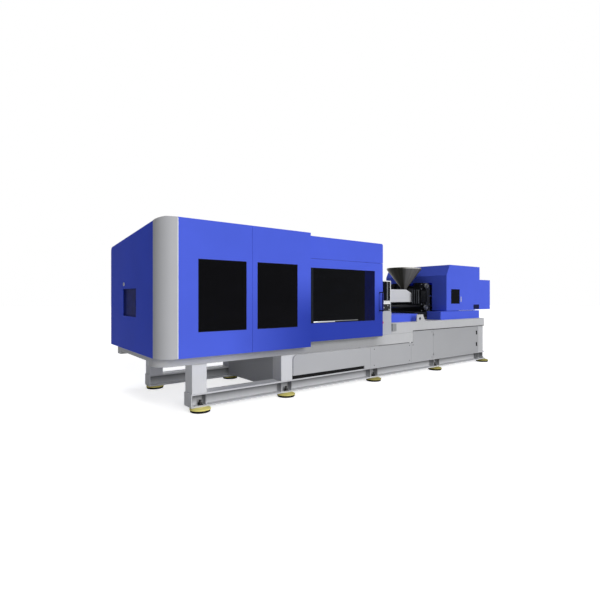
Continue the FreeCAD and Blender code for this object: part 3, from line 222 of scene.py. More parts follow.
def glazing(name, rgb, alpha, roughness, specular):
    """Tinted sheet with faint wipe marks in its gloss."""
    mat, tree, bsdf = base_material(name)
    smear = noise(tree, object_coords(tree, (1, 1, 3)), scale=3.4, detail=6.0, rough=0.62)
    feed(tree, bsdf, {"Base Color": two_tone(tree, smear, rgb, dark=0.85, light=1.2),
                      "Alpha": alpha, "Specular IOR Level": specular,
                      "Roughness": span(tree, smear, roughness, roughness + 0.12)})
    return mat


HOPPER_STATION = 5210
HOPPER_AT = (st(HOPPER_STATION), 0, 0)


def hopper_steel(name, dark, light, roughness, contrast):
    """Sheet steel with painted highlights: a lighter band on one side, and streaks down the cone
    that are partly grain and partly painted sheen.
    """
    mat, tree, bsdf = base_material(name)
    shifted = add_node(tree, "ShaderNodeVectorMath", {0: object_coords(tree), 1: HOPPER_AT})
    shifted.operation = "SUBTRACT"
    axes = separate(tree, shifted.outputs["Vector"])
    turn = calculate(tree, "ARCTAN2", axes["Y"], axes["X"])
    streaks = tree.nodes.new("ShaderNodeTexNoise")
    streaks.noise_dimensions = "1D"
    feed(tree, streaks, {"W": turn, "Scale": 3.2, "Detail": 7.0, "Roughness": 0.6})
    # painted highlight: a lighter band over part of the turn round the hopper
    band = ramp(tree, share(tree, turn, -math.pi, math.pi), [
        (0.0, rgba(dark)), (0.09, rgba(dark)), (0.14, rgba(light)),
        (0.26, rgba(light)), (0.36, rgba(dark)), (1.0, rgba(dark))])
    # streaks down the cone: partly grain, partly painted sheen
    faint = 1 - contrast
    tone = ramp(tree, streaks.outputs["Fac"], [
        (0.36, (faint, faint, faint, 1)), (0.5, (0.8, 0.8, 0.8, 1)), (0.64, WHITE)])
    feed(tree, bsdf, {
        "Base Color": mix_colours(tree, 1.0, band, tone, "MULTIPLY"),
        "Metallic": 0.1, "Specular IOR Level": 0.15,
        "Roughness": span(tree, streaks.outputs["Fac"], roughness - 0.08, roughness + 0.1)})
    fine = noise(tree, object_coords(tree), scale=160.0, detail=3.0)
    add_bump(tree, bsdf, fine, strength=0.05)
    return mat


# ---- the materials --------------------------------------------------------------------------
BLUE = (79, 100, 221)
EVEN = (1, 1, 1)         # metal without a direction
TURNED = (12, 1, 1)      # marks round an axis along X

# paint: name, colour, roughness, variation of its tone
#   painted shade: between which stations, between which heights, and what the colour is multiplied
#       by
# metal: name, colour, roughness, direction and scale of its grain
# plastic: name, colour, roughness, scale of its grain
# glazing: name, colour, opacity, roughness, gloss
# hopper steel: name, base colour and colour of the painted highlight band, roughness, contrast of
# its streaks
M = {
    "blue": paint("cover_blue_paint", BLUE, 0.42, 0.02),
    # end cover: a darker, less glossy copy of the blue, as painted shade on the end that faces away
    # from the light
    "end": paint("end_blue_shaded_paint", (52, 75, 200), 0.5, 0.03, specular=0.012),
    # front covers and door: the blue with painted shade, darker towards the bottom and towards the
    # injection end
    "door": paint("door_blue_shaded_paint", BLUE, 0.42, 0.02,
                  painted_shade=((600, 2150), (1.66, 1.0), (0.34, 0.40, 0.54))),
    # painted shade: the panels darker towards the injection end
    "panel": paint("panel_paint", (180, 181, 184), 0.5, 0.015,
                   painted_shade=((1700, 6400), None, (0.78, 0.78, 0.78))),
    # painted shadow: the bed darker under the door and on towards the clamp end
    "bed": paint("bed_paint", (188, 189, 191), 0.5, 0.02, peel=0.1, grime=0.05,
                 painted_shade=((3760, 3340), None, (0.68, 0.68, 0.68))),
    # painted shade: the legs darker towards the injection end
    "leg": paint("leg_paint", (211, 212, 215), 0.5, 0.02, peel=0.12, grime=0.06,
                 painted_shade=((2000, 6500), None, (0.74, 0.74, 0.74))),
    "beam": paint("beam_paint", (200, 201, 204), 0.5, 0.02, peel=0.12, grime=0.08),
    "control": paint("control_paint", (176, 179, 186), 0.45, 0.02),
    "bezel": paint("bezel_paint", (232, 233, 235), 0.4, 0.01),
    # painted shade: the pillar darker towards the clamp end
    "pillar": paint("pillar_paint", (182, 183, 186), 0.4, 0.015,
                    painted_shade=((150, -10), None, (0.86, 0.86, 0.86))),
    "frame": paint("frame_paint", (44, 47, 47), 0.5, 0.05),
    "plate": paint("drive_plate_paint", (34, 35, 38), 0.45, 0.1),
    "hood": paint("hood_paint", (206, 207, 210), 0.42, 0.02),
    "motor": paint("motor_paint", (26, 27, 30), 0.5, 0.08),
    "iron": paint("platen_paint", (128, 131, 134), 0.48, 0.04, peel=0.2),
    "navy": paint("louvre_paint", (14, 18, 62), 0.5, 0.04),
    # painted shade: the caps darker towards the injection end
    "yellow": paint("cap_yellow_paint", (244, 232, 138), 0.5, 0.05, peel=0.1, grime=0.05,
                    painted_shade=((549, 4200), None, (0.38, 0.38, 0.34))),
    "link": metal("toggle_steel", (118, 119, 121), 0.42, (1, 6, 1), 60.0),
    "bar": metal("tie_bar_chrome", (205, 207, 209), 0.18, (1, 14, 14), 90.0, variation=0.03),
    "screw": metal("ground_steel", (150, 151, 153), 0.28, TURNED, 90.0),
    "rod": metal("dark_rod_steel", (36, 37, 39), 0.4, TURNED, 90.0),
    "band": metal("band_steel", (176, 170, 160), 0.36, (1, 8, 8), 70.0),
    "pipe": metal("pipe_steel", (60, 62, 66), 0.4, (1, 1, 0.2), 120.0),
    "bolt": metal("bolt_steel", (94, 95, 98), 0.4, EVEN, 240.0),
    "sill": metal("sill_plate", (112, 114, 116), 0.4, EVEN, 120.0),
    "stud": metal("stud_steel", (62, 62, 62), 0.45, EVEN, 240.0),
    "zinc": metal("zinc_plate", (190, 192, 194), 0.34, EVEN, 120.0),
    "rubber": plastic("rubber_black", (18, 18, 19), 0.75, 300.0, depth=0.3, specular=0.1),
    "gasket": plastic("gasket_rubber", (12, 12, 14), 0.6, 300.0, specular=0.1),
    "black": plastic("black_plastic", (24, 24, 27), 0.5, specular=0.15),
    "handle": plastic("handle_plastic", (24, 24, 40), 0.5, specular=0.15),
    "dark_key": plastic("key_black_plastic", (34, 36, 38), 0.5, specular=0.15),
    "key": plastic("key_grey_plastic", (150, 153, 158), 0.5),
    "strip": plastic("screen_strip_plastic", (120, 124, 132), 0.5, specular=0.1),
    "red": plastic("stop_red_plastic", (196, 32, 34), 0.3, depth=0.03),
    "window": glazing("window_tint", (9, 9, 12), 0.96, 0.08, 0.035),
    "door_window": glazing("door_window_tint", (10, 11, 14), 0.96, 0.08, 0.035),
    "screen": glazing("screen_glass", (5, 7, 16), 1.0, 0.14, 0.03),
    "cover_glass": glazing("inspection_glass", (5, 7, 12), 1.0, 0.1, 0.02),
    # the hopper and its rim: painted highlight bands, the rim's the brighter
    "hopper": hopper_steel("hopper_steel", (56, 55, 48), (112, 111, 110), 0.5, 0.5),
    "rim": hopper_steel("hopper_rim_steel", (62, 60, 52), (205, 204, 198), 0.4, 0.3),
}


# ---- parts of a surface with a colour of their own ------------------------------------------
def recolour(mat, change, *values):
    """Passes what feeds a material's colour through one more step."""
    tree = mat.node_tree
    bsdf = tree.nodes["Principled BSDF"]
    before = bsdf.inputs["Base Color"].links[0].from_socket
    feed(tree, bsdf, {"Base Color": change(tree, before, *values)})


def region(tree, before, stations, sides, heights, rgb, mottling):
    """Gives what lies inside a box another colour, such as a pocket's walls darkened as painted
    shade.
    """
    limits = (tuple(map(st, stations)), sides, heights)
    middle = [(low + high) / 2 for low, high in limits]
    half = [(high - low) / 2 for low, high in limits]
    last = object_coords(tree)
    for operation, values in (("SUBTRACT", {1: middle}), ("ABSOLUTE", {}), ("SUBTRACT", {1: half})):
        step = add_node(tree, "ShaderNodeVectorMath", {0: last, **values})
        step.operation = operation
        last = step.outputs["Vector"]
    axes = separate(tree, last)
    worst = calculate(tree, "MAXIMUM", axes["X"], axes["Y"])
    worst = calculate(tree, "MAXIMUM", worst, axes["Z"])
    inside = calculate(tree, "LESS_THAN", worst, 0.0)
    cloud = noise(tree, object_coords(tree), mottling)
    own = two_tone(tree, cloud, rgb, dark=0.9, light=1.1)
    return mix_colours(tree, inside, before, own)


def painted_flange_shadow(tree, before, low, full, top, amount):
    """Painted shadow of the upper flange: darkens the web of a beam from a low height upwards,
    fully from there to the upper flange.
    """
    edge = ramp(tree, share(tree, separate(tree, object_coords(tree))["Z"], low, top), [
        (0.0, BLACK), ((full - low) / (top - low), WHITE), (0.996, WHITE), (1.0, BLACK)])
    return mix_colours(tree, edge, before, (amount, amount, amount, 1), "MULTIPLY")


MOTTLING = 14.0
REGIONS = (  # material, stations, sides, heights, colour, scale of its mottling
    # pocket of the end cover, darkened as painted shade in the recess, and the cover's key switch
    ("end", (6, 36), (-0.15, 0.5), (0.9, 1.45), (30, 38, 100), MOTTLING),
    ("end", (-12, -1), (0.29, 0.36), (1.45, 1.52), (176, 178, 182), 90.0),
    # socket on the bed, grip of the handle
    ("control", (3820, 3930), (-0.9, -0.8502), (0.75, 0.9), (146, 148, 150), MOTTLING),
    ("handle", (3410, 3445), (-1.03, -0.96), (1.122, 1.382), (34, 40, 112), MOTTLING),
    # right part of the door's window: painted blue reflection; left part: a lighter strip for the
    # reveal behind the pane
    ("door_window", (3105, 3345), (-0.95, -0.94), (0.9, 1.8), (10, 16, 62), MOTTLING),
    ("door_window", (2060, 2108), (-0.95, -0.94), (0.9, 1.8), (30, 33, 40), MOTTLING),
    # the frame's lowest rail, under the door
    ("frame", (2000, 3520), (-0.96, -0.85), (0.690, 0.724), (128, 130, 134), MOTTLING),
)
# painted shadow on the beam's web: where it starts, where it is full, where it ends, and how dark
SHADE_FOOT, SHADE_FULL, FLANGE_UNDERSIDE = 0.075, 0.172, 0.200    # heights on the beam's web
WEB_SHADE = 0.34
for key, *values in REGIONS:
    recolour(M[key], region, *values)
# painted light: the bed brighter again towards its clamp end
recolour(M["bed"], painted_light_falloff, (1500, 700), None, (1.4, 1.4, 1.4))
# painted shadow under the beams' upper flange
recolour(M["beam"], painted_flange_shadow, SHADE_FOOT, SHADE_FULL, FLANGE_UNDERSIDE, WEB_SHADE)

NODE_MATERIALS = {
    "beam": "base_beams",
    "leg": "bed_legs",
    "rubber": "levelling_pads",
    "yellow": "levelling_caps",
    "bed": "clamp_bed injection_bed",
    "panel": "side_panels cabinet_door roof_cover partition_cover",
    "black": "cabinet_latch_upper cabinet_latch_lower",
    "frame": "cover_frame",
    "end": "end_cover",
    "pillar": "corner_pillar",
    "door": "front_cover_left front_cover_right front_door",
    "blue": "front_header rear_covers rear_door injection_cover motor_cover way_covers",
    "window": "front_windows rear_door_window",
    "door_window": "front_door_window",
    "handle": "front_door_handle",
    "iron": "fixed_platen movable_platen tail_platen",
    "bar": "tie_bars",
    "link": "upper_rear_link lower_rear_link upper_front_link lower_front_link"
            " crosshead upper_crosshead_link lower_crosshead_link",
    "screw": "clamp_screw ejector injection_screw_front injection_screw_rear"
             " barrel plasticising_screw",
    "motor": "clamp_motor",
    "rod": "carriage_guides",
    "plate": "carriage_base injection_front_plate injection_rear_plate pressure_plate",
    "band": "heater_bands",
    "hood": "barrel_cover",
    "hopper": "hopper",
    "cover_glass": "cover_window",
    "control": "control_panel",
    "screen": "control_screen",
    "red": "emergency_stop",
}
for key, names in NODE_MATERIALS.items():
    for node in names.split():
        if not nodes[node].material_slots:
            nodes[node].data.materials.append(M[key])
        for material_slot in nodes[node].material_slots:
            material_slot.material = M[key]


# ---- softened edges on the beds, a platen and the legs --------------------------------------
WELD_DISTANCE = 0.00002
FLAT_ANGLE = math.radians(1)             # faces that differ by less become one
EDGE_ANGLE = math.radians(40)            # edges that bend more are rounded


def soften(names, width, segments=2):
    for name in names:
        obj = nodes[name]
        weld = obj.modifiers.new("weld", "WELD")
        weld.merge_threshold = WELD_DISTANCE
        flat = obj.modifiers.new("flatten", "DECIMATE")
        flat.decimate_type = "DISSOLVE"
        flat.angle_limit = FLAT_ANGLE
        edge = obj.modifiers.new("edge", "BEVEL")
        edge.width = width
        edge.segments = segments
        edge.limit_method = "ANGLE"
        edge.angle_limit = EDGE_ANGLE
        edge.use_clamp_overlap = True
        edge.harden_normals = True


soften(["clamp_bed", "injection_bed", "fixed_platen"], width=0.006)
soften(["bed_legs"], width=0.01, segments=3)


# ---- mesh helpers ---------------------------------------------------------------------------
def piece(name, mesh, key, body, smooth=30):
    """Turns a bmesh into a shown piece that rides on a body."""
    data = bpy.data.meshes.new(name)
    bmesh.ops.recalc_face_normals(mesh, faces=mesh.faces)
    mesh.to_mesh(data)
    mesh.free()
    data.materials.append(M[key])
    obj = bpy.data.objects.new(name, data)
    bpy.context.scene.collection.objects.link(obj)
    if smooth:
        data.shade_smooth()
        data.set_sharp_from_angle(angle=math.radians(smooth))
    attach(obj, body)
    return obj


def add_box(mesh, stations, sides, heights, bevel, segments=1):
    """Adds a box to a bmesh, with its edges rounded."""
    limits = (tuple(map(st, stations)), sides, heights)
    verts = bmesh.ops.create_cube(mesh, size=1.0)["verts"]
    for vert in verts:
        vert.co = Vector((low + high) / 2 + unit * (high - low)
                         for unit, (low, high) in zip(vert.co, limits))
    edges = {edge for vert in verts for edge in vert.link_edges}
    bmesh.ops.bevel(mesh, geom=list(edges), offset=bevel, segments=segments, profile=0.5,
                    affect="EDGES")


def add_boxes_on_both_sides(mesh, stations, near, far, heights, bevel):
    for sides in ((-far, -near), (near, far)):
        add_box(mesh, stations, sides, heights, bevel)


def box_piece(name, stations, sides, heights, key, body, bevel, segments=1):
    mesh = bmesh.new()
    add_box(mesh, stations, sides, heights, bevel, segments)
    piece(name, mesh, key, body)


def add_band(mesh, low, high):
    """Joins two rings of as many points by faces."""
    count = len(low)
    for k in range(count):
        m = (k + 1) % count
        mesh.faces.new((low[k], low[m], high[m], high[k]))


def add_turned(mesh, profile, centre, axis="Z", segments=48, close=True):
    """Adds a turned form: profile is a list of (radius, place) along the axis."""
    rings = []
    for radius, place in profile:
        ring = []
        for k in range(segments):
            angle = 2 * math.pi * k / segments
            a, b = radius * math.cos(angle), radius * math.sin(angle)
            local = {"Z": (a, b, place), "Y": (a, place, b), "X": (place, a, b)}[axis]
            ring.append(mesh.verts.new(Vector(centre) + Vector(local)))
        rings.append(ring)
    for low, high in zip(rings[:-1], rings[1:]):
        add_band(mesh, low, high)
    if close:
        mesh.faces.new(rings[0][::-1])
        mesh.faces.new(rings[-1])


def frame_round(mesh, stations, heights, sides, width):
    """Adds a flat rectangular frame in the XZ plane, outside the given opening."""
    (x0, x1), (z0, z1) = map(st, stations), heights
    rings = []
    for y in sides:
        for out in (width, 0):
            corners = ((x0 - out, z0 - out), (x1 + out, z0 - out),
                       (x1 + out, z1 + out), (x0 - out, z1 + out))
            rings.append([mesh.verts.new((x, y, z)) for x, z in corners])
    outer_front, inner_front, outer_back, inner_back = rings
    add_band(mesh, outer_front, inner_front)
    add_band(mesh, inner_back, outer_back)
    add_band(mesh, outer_back, outer_front)
    add_band(mesh, inner_front, inner_back)


# ---- levelling feet -------------------------------------------------------------------------
FOOT_STATIONS = (549, 1768, 3470, 5100, 6725)
FOOT_SIDE = 0.785
PAD = [(0.110, 0.0), (0.1155, 0.004), (0.116, 0.018), (0.113, 0.0255)]
CAP = [(0.112, 0.0255), (0.122, 0.028), (0.1235, 0.033), (0.119, 0.040),
       (0.100, 0.047), (0.084, 0.052), (0.076, 0.055), (0.0715, 0.0578)]
STUD = (  # sides and profile of the washer, the nut and the thread
    (32, [(0.034, 0.0761), (0.034, 0.0795)]),
    (6, [(0.025, 0.0795), (0.027, 0.0815), (0.027, 0.1005), (0.025, 0.1025)]),
    (24, [(0.015, 0.1025), (0.015, 0.132), (0.0135, 0.134)]),
)
caps = bmesh.new()
pads = bmesh.new()
studs = bmesh.new()
for station in FOOT_STATIONS:
    for side in (-FOOT_SIDE, FOOT_SIDE):
        centre = (st(station), side, 0)
        add_turned(pads, PAD, centre)
        add_turned(caps, CAP, centre)
        for sides, profile in STUD:
            add_turned(studs, profile, centre, segments=sides)
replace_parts(piece("foot_caps", caps, "yellow", "frame"), "levelling_caps")
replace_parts(piece("foot_pads", pads, "rubber", "frame"), "levelling_pads")
piece("foot_studs", studs, "stud", "frame")


# ---- base beams: ends flush with the first legs, closed by plates ---------------------------
BEAM_END = 424
beams = bmesh.new()
beams.from_mesh(nodes["base_beams"].data)
for vert in beams.verts:
    vert.co.x = max(vert.co.x, st(BEAM_END))
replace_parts(piece("beam_profiles", beams, "beam", "frame", smooth=0),
            "base_beams")
end_plates = bmesh.new()
add_boxes_on_both_sides(end_plates, (BEAM_END - 4, BEAM_END + 6), 0.622, 0.830, (0.058, 0.217),
                        bevel=0.002)
piece("beam_end_plates", end_plates, "leg", "frame")


# ---- hopper ---------------------------------------------------------------------------------
RIM_HEIGHT = 1.8675
FUNNEL = [(0.0585, 1.490), (0.0600, 1.490), (0.0600, 1.4995), (0.3330, 1.8640),
          (0.3340, 1.8670), (0.3340, 1.8925), (0.3325, 1.8930), (0.3305, 1.8915),
          (0.3305, RIM_HEIGHT), (0.0585, 1.5010), (0.0585, 1.490)]
funnel = bmesh.new()
add_turned(funnel, FUNNEL, HOPPER_AT, segments=96, close=False)
bmesh.ops.remove_doubles(funnel, verts=funnel.verts, dist=0.00001)
shell = piece("hopper_shell", funnel, "hopper", "carriage", smooth=24)
shell.data.materials.append(M["rim"])
for face in shell.data.polygons:
    if face.center.z > RIM_HEIGHT:
        face.material_index = 1
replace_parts(shell, "hopper")


# ---- window gaskets -------------------------------------------------------------------------
GASKET_WIDTH = 0.0058
gaskets = bmesh.new()
for stations in ((436, 1034), (1196, 1794)):
    frame_round(gaskets, stations, (0.939, 1.737), (-0.9985, -0.9965), GASKET_WIDTH)
piece("window_gaskets", gaskets, "gasket", "frame", smooth=0)
door_gasket = bmesh.new()
frame_round(door_gasket, (2056, 3314), (0.971, 1.714), (-0.9492, -0.9468), GASKET_WIDTH)
piece("door_gasket", door_gasket, "gasket", "front_door", smooth=0)


# ---- plates behind the lower panels: painted above, black as painted shade behind the slot over the beam ------
BACK_STATIONS = (1841, 3349)
BACK_SIDES = (0.826, 0.829)
SLOT_HEIGHTS = (0.2185, 0.272)
panel_backs = bmesh.new()
slot_shade_backs = bmesh.new()
add_boxes_on_both_sides(panel_backs, BACK_STATIONS, *BACK_SIDES, (SLOT_HEIGHTS[1], 0.5545),
                        bevel=0.0005)
add_boxes_on_both_sides(slot_shade_backs, BACK_STATIONS, *BACK_SIDES, SLOT_HEIGHTS, bevel=0.0005)
piece("panel_backs", panel_backs, "leg", "frame")
piece("slot_shade_backs", slot_shade_backs, "rubber", "frame")


# ---- panel screws ---------------------------------------------------------------------------
SCREW_HEAD = [(0.009, -0.8482), (0.009, -0.8500), (0.006, -0.8495), (0.0, -0.8495)]
SCREWS_AT = ((3420, 0.505), (3420, 0.252), (4290, 0.505), (4290, 0.252),
             (4385, 0.505), (4925, 0.700), (4925, 0.252))
screws = bmesh.new()
for station, height in SCREWS_AT:
    add_turned(screws, SCREW_HEAD, (st(station), 0, height), "Y", segments=24, close=False)
piece("panel_screws", screws, "bolt", "frame")


# ---- pillar trim as painted highlight, table strip as painted shadow, and the door's sill ---
# a near-white trim on the pillar's edge, as painted highlight there
box_piece("pillar_highlight_trim", (195, 205), (-1.0022, -1.0003), (0.662, 2.168),
          "bezel", "frame", bevel=0.0008, segments=2)
box_piece("door_sill", (2110, 2500), (-0.9498, -0.9470), (0.9722, 0.9890),
          "zinc", "front_door", bevel=0.001, segments=2)
box_piece("door_sill_end", (2500, 2960), (-0.9495, -0.9470), (0.9800, 0.9920),
          "sill", "front_door", bevel=0.001, segments=2)
# a dark rubber strip under the table's edge, standing in for the shadow there
box_piece("table_shadow_seal", (4386, 6690), (-0.8590, -0.8502), (0.7406, 0.7500),
          "gasket", "frame", bevel=0.0015, segments=2)


# ---- control panel: screen strip, soft keys, keypad and its frame ---------------------------
SOFT_KEYS = 9
SOFT_KEY_FOOT = 1.282                    # height of the lowest soft key
SOFT_KEY_PITCH = 0.0305
SOFT_KEY_HEIGHT = 0.022
box_piece("screen_strip", (3716, 3738), (-0.8500, -0.8491), (1.272, 1.560),
          "strip", "frame", bevel=0.0004)
soft_keys = bmesh.new()
for row in range(SOFT_KEYS):
    low = SOFT_KEY_FOOT + row * SOFT_KEY_PITCH
    add_box(soft_keys, (3750, 3782), (-0.8500, -0.8491), (low, low + SOFT_KEY_HEIGHT),
            bevel=0.0004)
piece("screen_keys", soft_keys, "dark_key", "frame")
box_piece("keypad_plate", (3528.5, 3793.5), (-0.8484, -0.8471), (1.0995, 1.2075),
          "black", "frame", bevel=0.0004)

KEY_ROWS, KEY_COLUMNS = 3, 8
KEY_START = 3541                         # station of the first column
KEY_FOOT = 1.107                         # height of the lowest row
COLUMN_PITCH, KEY_WIDTH = 31, 22         # in millimetres, as the stations are
ROW_PITCH, KEY_HEIGHT = 0.034, 0.024
keys = bmesh.new()
pale_keys = bmesh.new()
for row in range(KEY_ROWS):
    for column in range(KEY_COLUMNS):
        left = KEY_START + column * COLUMN_PITCH
        low = KEY_FOOT + row * ROW_PITCH
        pale = (row * 5 + column * 3) % 7 == 0       # a few keys here and there
        add_box(pale_keys if pale else keys, (left, left + KEY_WIDTH), (-0.8499, -0.8485),
                (low, low + KEY_HEIGHT), bevel=0.0005, segments=2)
piece("keypad_keys", keys, "dark_key", "frame")
piece("keypad_pale_keys", pale_keys, "key", "frame")
edge_frame = bmesh.new()
frame_round(edge_frame, (3527, 3795), (1.262, 1.570), (-0.8508, -0.8500), 0.0135)
piece("screen_frame", edge_frame, "bezel", "frame", smooth=0)
box_piece("panel_bar", (3528.5, 3793.5), (-0.8512, -0.8471), (1.2085, 1.2385),
          "bezel", "frame", bevel=0.0015, segments=2)


# ---- injection drive: cooling ribs, pipes, bosses and bolts on the front plate --------------
PLATE_FACE = -0.430
SEAT = PLATE_FACE - 0.0004               # what sits on the plate starts just in front of it
RIBS = 5
RIB_START, RIB_PITCH, RIB_WIDTH = 5172, 40, 16       # stations and millimetres
ribs = bmesh.new()
for k in range(RIBS):
    left = RIB_START + k * RIB_PITCH
    add_box(ribs, (left, left + RIB_WIDTH), (PLATE_FACE - 0.022, SEAT), (1.225, 1.440),
            bevel=0.004, segments=3)
piece("front_plate_ribs", ribs, "rod", "carriage")

PIPE_STATION = 5135
PIPE_SIDES = (-0.262, -0.312, -0.362, -0.405)
PIPE = [(0.010, 1.196), (0.0125, 1.198), (0.0125, 1.204), (0.010, 1.206),
        (0.010, 1.452), (0.0125, 1.454), (0.0125, 1.462), (0.010, 1.464)]
PIPE_END = [(0.006, st(5135.2)), (0.006, st(5148.5))]    # stub from a pipe to the plate
pipes = bmesh.new()
for side in PIPE_SIDES:
    add_turned(pipes, PIPE, (st(PIPE_STATION), side, 0), segments=20)
    for height in (1.212, 1.446):
        add_turned(pipes, PIPE_END, (0, side, height), "X", segments=12)
piece("cooling_pipes", pipes, "pipe", "carriage")

BOSSES = ((5330, 1.535, 0.052), (5300, 1.125, 0.050))    # station, height, radius
BOSS_SHAPE = ((0.55, -0.4620), (0.62, -0.4640), (0.78, -0.4640), (0.82, -0.4610),
              (0.84, -0.4500), (1, -0.4480), (1, SEAT))  # share of the radius, and side
BOSS_BOLT = [(0.0055, -0.4660), (0.0062, -0.4655), (0.0062, -0.4635)]
BOSS_BOLTS = 6
BOLT_CIRCLE = 0.7                        # share of the boss's radius
FIRST_BOLT = 15                          # degrees
bosses = bmesh.new()
for station, height, radius in BOSSES:
    profile = [(part * radius, side) for part, side in BOSS_SHAPE]
    add_turned(bosses, profile, (st(station), 0, height), "Y")
    for k in range(BOSS_BOLTS):
        angle = math.radians(k * 360 / BOSS_BOLTS + FIRST_BOLT)
        centre = (st(station) + BOLT_CIRCLE * radius * math.cos(angle), 0,
                  height + BOLT_CIRCLE * radius * math.sin(angle))
        add_turned(bosses, BOSS_BOLT, centre, "Y", segments=12)
piece("drive_bosses", bosses, "bolt", "carriage")

PLATE_BOLT = [(0.008, -0.4420), (0.011, -0.4412), (0.011, SEAT)]
plate_bolts = bmesh.new()
for station in (5185, 5415):
    for height in (1.065, 1.185, 1.475, 1.565):
        add_turned(plate_bolts, PLATE_BOLT, (st(station), 0, height), "Y", segments=20)
piece("plate_bolts", plate_bolts, "bolt", "carriage")


# ---- plasticising screw: tip, shank and flights ---------------------------------------------
FEED_END, METERING_START = 3900, 4450    # stations between which the root rises
DEEP_ROOT, SHALLOW_ROOT = 0.0275, 0.0225
FLIGHT_RADIUS = 0.0322                   # leaves 0.8 mm of room in the barrel
FLIGHT_START = 3456                      # station
FLIGHT_PITCH = 64                        # in millimetres
STEPS_PER_TURN = 28
FLIGHT_STEPS = 805
ROOT_SINK = 0.0008                       # how far the flight's foot lies inside the root
FLIGHT_FOOT, FLIGHT_LAND = 0.0048, 0.0034            # half the flight's width


def root_radius(station):
    """Radius of the root: deep feed section, taper, shallow metering section."""
    taper = (station - FEED_END) / (METERING_START - FEED_END)
    return DEEP_ROOT + (SHALLOW_ROOT - DEEP_ROOT) * min(max(taper, 0), 1)


screw = bmesh.new()
turned = [(0.0040, 3370.5), (0.0170, 3400), (0.0170, 3430), (DEEP_ROOT, 3450)]
turned += [(root_radius(station), station) for station in (FEED_END, METERING_START, 5288)]
turned += [(FLIGHT_RADIUS, 5298), (FLIGHT_RADIUS, 5719.5)]
add_turned(screw, [(radius, st(station)) for radius, station in turned], (0, 0, AXIS), "X",
           segments=32)
sections = []
for step in range(FLIGHT_STEPS):
    angle = 2 * math.pi * step / STEPS_PER_TURN
    station = FLIGHT_START + FLIGHT_PITCH * step / STEPS_PER_TURN
    foot = root_radius(station) - ROOT_SINK
    outline = ((foot, -FLIGHT_FOOT), (FLIGHT_RADIUS, -FLIGHT_LAND),
               (FLIGHT_RADIUS, FLIGHT_LAND), (foot, FLIGHT_FOOT))
    sections.append([screw.verts.new((st(station) + shift, radius * math.cos(angle),
                                      AXIS + radius * math.sin(angle)))
                     for radius, shift in outline])
for before, after in zip(sections[:-1], sections[1:]):
    add_band(screw, before, after)
screw.faces.new(sections[0][::-1])
screw.faces.new(sections[-1])
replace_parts(piece("screw_flights", screw, "screw", "plasticising_screw"),
            "plasticising_screw")


# ---- injection cover: louvre and window latch -----------------------------------------------
SLATS = 7
SLAT_FOOT = 1.082                        # height of the lowest slat
SLAT_PITCH = 0.0125
SLAT_HEIGHT = 0.0095
louvre = bmesh.new()
add_box(louvre, (6486, 6700), (-0.7408, -0.7401), (1.078, 1.170), bevel=0.0003)
for row in range(SLATS):
    low = SLAT_FOOT + row * SLAT_PITCH
    add_box(louvre, (6492, 6694), (-0.7418, -0.7402), (low, low + SLAT_HEIGHT), bevel=0.0005)
piece("cover_louvre", louvre, "navy", "carriage")
box_piece("window_latch", (6018, 6040), (-0.7440, -0.7402), (1.228, 1.330),
          "zinc", "carriage", bevel=0.0015, segments=2)


# ---- light, floor and camera ----------------------------------------------------------------
def seen_directly(tree):
    """1 for camera, glossy and transmission rays, 0 for the diffuse ones that light the object."""
    path = tree.nodes.new("ShaderNodeLightPath").outputs
    shown = calculate(tree, "MAXIMUM", path["Is Camera Ray"], path["Is Glossy Ray"])
    return calculate(tree, "MAXIMUM", shown, path["Is Transmission Ray"])


SKY_LIGHT = 0.09         # strength of the white surroundings as light on the object
scene = bpy.context.scene
world = bpy.data.worlds.new("studio")
scene.world = world
world.use_nodes = True
tree = world.node_tree
tree.nodes.clear()
shown = add_node(tree, "ShaderNodeBackground", {"Color": WHITE, "Strength": 1.0})
lit = add_node(tree, "ShaderNodeBackground", {"Color": WHITE, "Strength": SKY_LIGHT})
either = add_node(tree, "ShaderNodeMixShader",
                  {0: seen_directly(tree), 1: lit.outputs[0], 2: shown.outputs[0]})
add_node(tree, "ShaderNodeOutputWorld", {"Surface": either.outputs[0]})

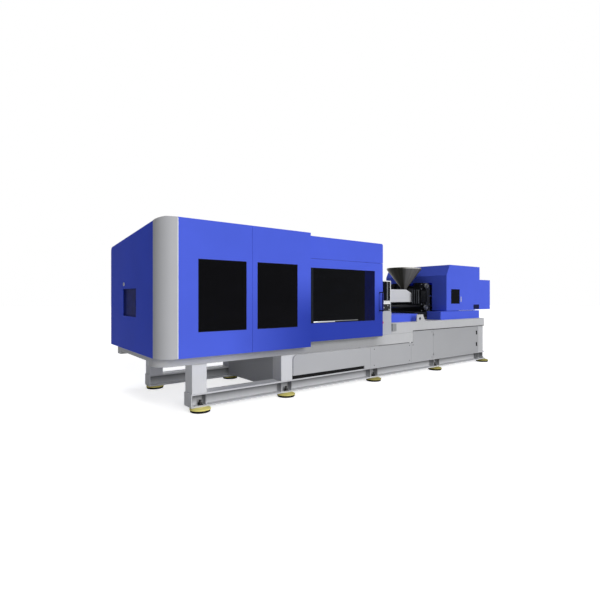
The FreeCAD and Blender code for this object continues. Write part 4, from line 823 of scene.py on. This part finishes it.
FLOOR_GLOW = 0.68        # of the floor as seen or mirrored: it adds no diffuse light
floor_mat, tree, bsdf = base_material("floor_pale")
grain = noise(tree, object_coords(tree), scale=2.0, detail=3.0)
tint = ramp(tree, grain, [(0.3, (0.80, 0.80, 0.80, 1)), (0.7, (0.82, 0.82, 0.82, 1))])
feed(tree, bsdf, {"Base Color": tint, "Roughness": 0.9, "Specular IOR Level": 0.0})
strength = calculate(tree, "MULTIPLY", seen_directly(tree), FLOOR_GLOW)
glow = add_node(tree, "ShaderNodeEmission", {"Color": WHITE, "Strength": strength})
both = add_node(tree, "ShaderNodeAddShader", {0: bsdf.outputs[0], 1: glow.outputs[0]})
feed(tree, tree.nodes["Material Output"], {"Surface": both.outputs[0]})

ground = bmesh.new()
bmesh.ops.create_grid(ground, x_segments=4, y_segments=4, size=60.0)
floor_data = bpy.data.meshes.new("floor")
ground.to_mesh(floor_data)
ground.free()
floor_data.materials.append(floor_mat)
floor = bpy.data.objects.new("floor", floor_data)
scene.collection.objects.link(floor)


def add_sun(name, energy, angle, towards, shadow=True):
    """A soft sun, seen from the object in the given direction."""
    data = bpy.data.lights.new(name, "SUN")
    data.energy = energy
    data.angle = math.radians(angle)
    data.use_shadow = shadow
    sun = bpy.data.objects.new(name, data)
    sun.rotation_euler = Vector(towards).to_track_quat("Z", "Y").to_euler()
    scene.collection.objects.link(sun)


add_sun("key", energy=2.25, angle=40, towards=(0.02, -0.94, 0.34))
add_sun("above", energy=0.8, angle=30, towards=(-0.15, 0.0, 0.99))
add_sun("rear_fill", energy=1.3, angle=40, towards=(0.45, 0.89, 0.05), shadow=False)

camera_data = bpy.data.cameras.new("camera")
camera_data.sensor_width = 36
camera_data.lens = 24.97
camera_data.shift_y = -0.0047
camera_data.clip_end = 200
camera = bpy.data.objects.new("camera", camera_data)
camera.location = (-5.2554, -5.3062, 1.3196)
camera.rotation_euler = (math.radians(90), 0, math.radians(-37.51))
scene.collection.objects.link(camera)
scene.camera = camera
scene.view_settings.view_transform = "Standard"
